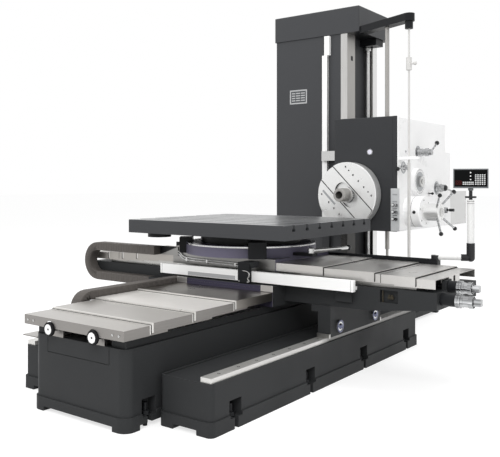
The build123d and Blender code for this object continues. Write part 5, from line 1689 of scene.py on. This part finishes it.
@dataclass
class Controls:
    """Levers, dials and knobs on the white side housing.

    Spots on the housing are given as y and z, with a radius where they are round. Balls are given as lever, centre
    and radius, and hubs as lever, y, z, radius and outer end.
    """

    face: float = 0.410
    drum: tuple[float, float, float] = (1.505, 0.958, 0.126)
    drum_end: float = 0.550
    drum_seam: float = 0.478
    drum_plug: float = 0.510
    drum_screw_circle: float = 0.098
    drum_screw_count: int = 6
    drum_screw_turn: float = 45.0
    hub_end: float = 0.690
    hub_radius: float = 0.08
    arm_reach: float = 0.196
    dial_spot: tuple[float, float, float] = (1.643, 1.205, 0.115)
    dial_front: float = 0.450
    dial_end: float = 0.474
    dial_back: float = 0.445
    dial_mark_count: int = 60
    grip_start: float = 2.277
    screw_spot: tuple[float, float] = (1.440, 1.452)
    knob_spot: tuple[float, float] = (1.948, 1.101)
    balls: tuple[tuple[str, Spot, float], ...] = (
        ("lever_1", (0.540, 1.792, 1.533), 0.0192),
        ("lever_2", (0.432, 1.240, 1.305), 0.0172),
        ("lever_3", (0.490, 2.333, 1.111), 0.0202),
        ("table_clamp_lever", (0.444, 0.400, 0.742), 0.0204),
    )
    hubs: tuple[tuple[str, float, float, float, float], ...] = (
        ("lever_1", 1.696, 1.453, 0.027, 0.534),
        ("lever_2", 1.400, 1.320, 0.020, 0.444),
        ("lever_3", 2.113, 1.149, 0.030, 0.490),
    )

    def paint_balls(self) -> None:
        """Brightens the capstan's hub and blackens the balls and grips of the levers."""
        y, z, _ = self.drum
        touch("capstan", PLATE_STEEL, lambda m, n: math.hypot(m.y - y, m.z - z) < self.hub_radius)
        touch("capstan", BLACK_PLASTIC, lambda m, n: math.hypot(m.y - y, m.z - z) > self.arm_reach)
        for node, spot, radius in self.balls:
            centre = Vector(spot)
            touch(node, BLACK_PLASTIC, lambda m, n: (m - centre).length < radius)
        touch("hand_crank", BLACK_PLASTIC, lambda m, n: m.y > self.grip_start)

    def build_drum(self) -> None:
        """Adds the seam, the plug and the screws of the feed drum, and the cap of its capstan."""
        y, z, r = self.drum
        profile = ((0, r - 0.002), (0, r + 0.0006), (0.002, r + 0.0006), (0.002, r - 0.002))
        ready(turned("drum_seam", profile, (self.drum_seam, y, z), Lie.X, 64), INK, "headstock")
        profile = ((-0.004, 0.013), (0.004, 0.013), (0.006, 0.011), (0.006, 0.006), (0.003, 0.005), (0.003, 0))
        plug = turned("drum_plug", profile, (self.drum_plug, y - r, z), Lie.BACK_Y, 24)
        ready(plug, BLACK_PLASTIC, "headstock")
        first = Matrix.Rotation(math.radians(self.drum_screw_turn), 4, "X")
        out = first @ Matrix.Translation((0, self.drum_screw_circle, 0))
        places = [place @ out for place in ringed((self.drum_end, y, z), "X", self.drum_screw_count)]
        ready(copies(screw(0.007, 0.004, Lie.X), places, "drum_screws"), BRIGHT_STEEL, "headstock")
        profile = ((0, 0.030), (0, 0.036), (0.006, 0.036), (0.010, 0.030), (0.012, 0.014), (0.016, 0.012), (0.018, 0))
        ready(turned("capstan_cap", profile, (self.hub_end, y, z), Lie.X), BRIGHT_STEEL, "capstan")

    def build_dial(self) -> None:
        """Paints the dial, marks it round its rim and caps its hub."""
        y, z, r = self.dial_spot
        touch("dial", WHITE_PAINT, lambda m, n: math.hypot(m.y - y, m.z - z) > r * 0.75 or m.x < self.dial_back)
        spot = (self.dial_front, y, z)
        profile = ((0, 0.048), (0.002, 0.050), (0.003, 0.052), (0.003, 0.080), (0.0005, 0.084), (0, 0.084))
        ready(turned("dial_plate", profile, spot, Lie.X, 64), PLATE_SILVER, "dial")
        tick = eased(block("tick", (0, -0.0007, r - 0.022), (0.0006, 0.0007, r - 0.010)), 0.0001, 1)
        ready(copies(tick, ringed(spot, "X", self.dial_mark_count), "dial_marks"), INK, "dial")
        profile = ((0, 0.020), (0.002, 0.022), (0.006, 0.022), (0.008, 0.018), (0.008, 0.008), (0.006, 0.006),
                   (0.006, 0))
        hub = turned("dial_hub", profile, (self.dial_end, y, z), Lie.X, 32)
        ready(hub, BRIGHT_STEEL, "dial")

    def build_rings(self) -> None:
        """Turns the collars and flanges round the lever hubs, and the cap of the last lever."""
        for node, y, z, r, end in self.hubs:
            spot = (self.face, y, z)
            free = end - self.face - 0.030
            if free > 0.03:
                near, far = free * 0.4, free * 0.7
                profile = ((0.002, r), (0.002, r + 0.012), (0.010, r + 0.012), (0.014, r + 0.006), (near, r + 0.006),
                           (near + 0.003, r + 0.002), (far, r + 0.002), (far + 0.003, r + 0.007), (free, r + 0.007),
                           (free + 0.004, r))
                ready(turned(f"{node}_collar", profile, spot, Lie.X), CHROME, node)
            profile = ((-0.001, r + 0.030), (0.0015, r + 0.030), (0.0018, r + 0.028), (0.0018, r + 0.014))
            ready(turned(f"{node}_flange", profile, spot, Lie.X, 48), PLATE_SILVER, "headstock")
        _, y, z, r, end = self.hubs[-1]
        profile = ((-0.002, r - 0.004), (0.004, r - 0.004), (0.012, r - 0.007), (0.018, r - 0.015), (0.020, 0))
        cap = turned("lever_3_cap", profile, (end, y, z), Lie.X, 32)
        ready(cap, BLACK_PLASTIC, "lever_3")

    def build_knobs(self) -> None:
        """Sets the lone screw on the housing and the small ball knob with its pin."""
        y, z = self.screw_spot
        lone = copies(screw(0.008, 0.006, Lie.X), [(self.face, y, z)], "housing_screw")
        ready(lone, PLATE_SILVER, "headstock")
        y, z = self.knob_spot
        profile = ((0, 0.006), (0.016, 0.005), (0.018, 0.008), (0.024, 0.0118), (0.030, 0.012), (0.036, 0.0095),
                   (0.040, 0.005), (0.041, 0))
        ball = turned("knob", profile, (self.face, y, z), Lie.X, 24)
        pin = rod("pin", (self.face + 0.010, y - 0.050, z + 0.004), (self.face + 0.010, y, z), 0.005)
        ready(joined([ball, eased(pin, 0.0012)], "ball_knob"), BLACK_PLASTIC, "headstock")

    def build(self) -> None:
        """Builds the controls' trim."""
        self.paint_balls()
        self.build_drum()
        self.build_dial()
        self.build_rings()
        self.build_knobs()


@dataclass
class Display:
    """Position readout on its swinging arm.

    Key blocks are given as left, top, pitch, columns and rows, from the middle of the front.
    """

    turn: float = math.radians(19)
    width: float = 0.212
    depth: float = 0.056
    height: float = 0.123
    bottom: float = 1.160
    axis: tuple[float, float] = (1.285, 0.454)
    post_radius: float = 0.022
    root: tuple[float, float] = (1.087, 0.362)
    ring_heights: tuple[float, ...] = (1.062, 1.075)
    swivel_bottom: float = 1.0875
    elbow_top: float = 0.815
    elbow_proud: float = 0.0055
    elbow_foot: float = 0.80
    elbow_reach: float = 0.06
    root_reach: float = 0.03
    face_inset: float = 0.007
    face_foot: float = 0.010
    face_rim: float = 0.003
    face_proud: float = 0.002
    digit_bar: float = 0.0016
    digit_size: tuple[float, float] = (0.008, 0.010)
    digit_columns: tuple[float, ...] = (-0.086, -0.073, -0.060)
    digit_rows: tuple[float, ...] = (-0.019, -0.034)
    key_blocks: tuple[tuple[float, float, float, int, int], ...] = (
        (0.030, 0.0215, 0.0133, 5, 6),
        (-0.044, -0.0245, 0.0115, 6, 2),
    )
    key_row: float = 0.0115
    button_x: float = -0.001
    button_heights: tuple[float, ...] = (0.037, 0.015, -0.0065)

    def placed(self) -> Matrix:
        """Gives the matrix from the display's own front, with its middle at the origin, to the frame."""
        spot = Matrix.Translation((*self.axis, self.bottom + self.height / 2)) @ Matrix.Rotation(self.turn, 4, "Z")
        return spot @ Matrix.Translation((0, -self.depth / 2, 0))

    def shade_arm(self) -> None:
        """Blackens the swivel, the elbow and the root of the arm, and rings the post."""
        post, root = Vector(self.axis), Vector(self.root)

        def is_black(m: Vector, n: Vector) -> bool:
            """Tells whether a face of the arm belongs to a black fitting.

            Args:
                m: the face's middle.
                n: its normal.

            Returns:
                Whether it does.
            """
            to_post = (m.to_2d() - post).length
            on_collar = m.z < self.elbow_top and to_post < self.post_radius + self.elbow_proud
            on_foot = m.z < self.elbow_foot and to_post < self.elbow_reach
            return m.z > self.swivel_bottom or on_collar or on_foot or (m.to_2d() - root).length < self.root_reach

        touch("dro_arm", BLACK_PLASTIC, is_black)
        r = self.post_radius
        profile = ((0, r - 0.001), (0, r + 0.0006), (0.002, r + 0.0006), (0.002, r - 0.001))
        rings = copies(turned("ring", profile, (*self.axis, 0), Lie.Z), [(0, 0, z) for z in self.ring_heights],
                       "post_rings")
        ready(rings, INK, "dro_arm")

    def build_face(self) -> None:
        """Raises the dark field on the display's front."""
        w, h = self.width / 2 - self.face_inset, self.height / 2
        low, high = (-w, -self.face_proud, -h + self.face_foot), (w, 0.001, h - self.face_inset)
        face = block("readout_face", low, high)
        sink(face, Lie.BACK_Y, self.face_rim, 0.0004)
        face.data.transform(self.placed())
        ready(face, SCREEN_BLACK, "dro_head")

    def digit(self) -> Piece:
        """Models one nought made of four bars, at the origin.

        Returns:
            The nought.
        """
        bar = self.digit_bar
        w, h = self.digit_size[0] / 2, self.digit_size[1] / 2
        bars = [(-w, w, z - bar / 2, z + bar / 2) for z in (-h, h)]
        bars += [(x - bar / 2, x + bar / 2, -h, h) for x in (-w, w)]
        made = [eased(block("bar", (a, -0.0004, c), (b, 0.0004, d)), 0.0002, 1) for a, b, c, d in bars]
        return joined(made, "digit")

    def spread(self, pattern: Piece, spots: Sequence[Spot], name: str, finish: Finish) -> None:
        """Copies a small piece over the display's front.

        Args:
            pattern: the piece, modelled at the origin.
            spots: where the copies go, from the front's middle.
            name: the joined piece's name.
            finish: its surface.
        """
        made = copies(pattern, spots, name)
        made.data.transform(self.placed())
        ready(made, finish, "dro_head")

    def build(self) -> None:
        """Builds the arm's fittings, the dark face, the digits and the keys."""
        self.shade_arm()
        self.build_face()
        places = [(x, -self.face_proud, z) for x in self.digit_columns for z in self.digit_rows]
        self.spread(self.digit(), places, "readout_digits", DIGIT_RED)
        key = block("key", (-0.0043, -0.0042, -0.0038), (0.0043, -0.0008, 0.0038))
        sink(eased(key, 0.0012, 1), Lie.BACK_Y, 0.0012, 0.0006)
        grid = [(left + col * pitch, 0, top - row * self.key_row) for left, top, pitch, cols, rows in self.key_blocks
                for col in range(cols) for row in range(rows)]
        self.spread(key, grid, "readout_keys", KEY_GREY)
        dot = turned("dot", ((0, 0.0040), (0.003, 0.0040), (0.0036, 0.003), (0.0038, 0)), ORIGIN, Lie.BACK_Y, 16)
        self.spread(dot, [(self.button_x, 0, z) for z in self.button_heights], "axis_buttons", SCALE_WHITE)


def dress_frame() -> None:
    """Gives every solid of the frame its main finish."""
    dress(BED_PAINT, "main_bed", "left_support_bed", "right_support_bed", "column_pedestal", "saddle", "saddle_legs")
    dress(COLUMN_PAINT, "column", "column_cap")
    dress(HEAD_PAINT, "headstock")
    dress(WHITE_PAINT, "side_housing")
    dress(TURNTABLE_PAINT, "cross_slide", "turntable_base")
    dress(TABLE_IRON, "rotary_table")
    dress(GROUND_STEEL, "bed_guideways", "support_rails")
    dress(COLUMN_STEEL, "column_guideways", "elevating_screw")
    dress(PALE_ROD, "limit_rod")
    dress(ROD_STEEL, "feed_shaft", "boring_spindle")
    dress(CROSS_STEEL, "cross_guideways", "saddle_wipers")
    dress(COVER_STEEL, "bed_covers", "front_cover_2", "rear_cover_2", "saddle_covers")
    # Painted light on the section nearest the saddle.
    dress(COVER_PAINTED_LIGHT, "front_cover_3")
    dress(CROSS_COVER_STEEL, "right_cover_2", "right_cover_3", "slide_covers")
    # Painted shade on the left cross covers.
    dress(CROSS_COVER_SHADE, "left_cover_2", "left_cover_3")
    dress(SCALE_WHITE, "vertical_scale", "cross_scale")
    dress(PLATE_STEEL, "faceplate", "facing_slide")
    dress(BRIGHT_STEEL, "dial", "table_clamp_lever", "front_rollers", "rear_rollers")
    dress(CHROME, "crank_lower", "crank_upper", "capstan", "lever_1", "lever_2", "lever_3", "hand_crank",
          "selector_1", "selector_2", "selector_3")
    dress(BLACK_STEEL, "rear_cable_tray", "levelling_bolts", "scale_reader", "shaft_supports")
    dress(CHAIN_PLASTIC, "bed_cable_chain", "cross_cable_chain")
    dress(PALE_TUBE, "dro_arm")
    dress(DISPLAY_PLASTIC, "dro_head")
    dress(PANEL_SILVER, "switch_panel")
    dress(RUBBER, "cover_buffers")


def main() -> None:
    """Builds the scene piece by piece."""
    logging.basicConfig(level=logging.INFO, format="%(message)s")
    Studio().build()
    dress_frame()
    CableChain("bed_cable_chain", "base", "saddle", Lie.Y, 0.054, -0.300, -0.318).build()
    CableChain("cross_cable_chain", "saddle", "cross_slide", Lie.X, 0.060, -0.700, -0.647).build()
    Bed().build()
    Covers().build()
    Column().build()
    Turntable().build()
    Saddle().build()
    CrossSlide().build()
    Headstock().build()
    Controls().build()
    Display().build()


if __name__ == "__main__":
    main()
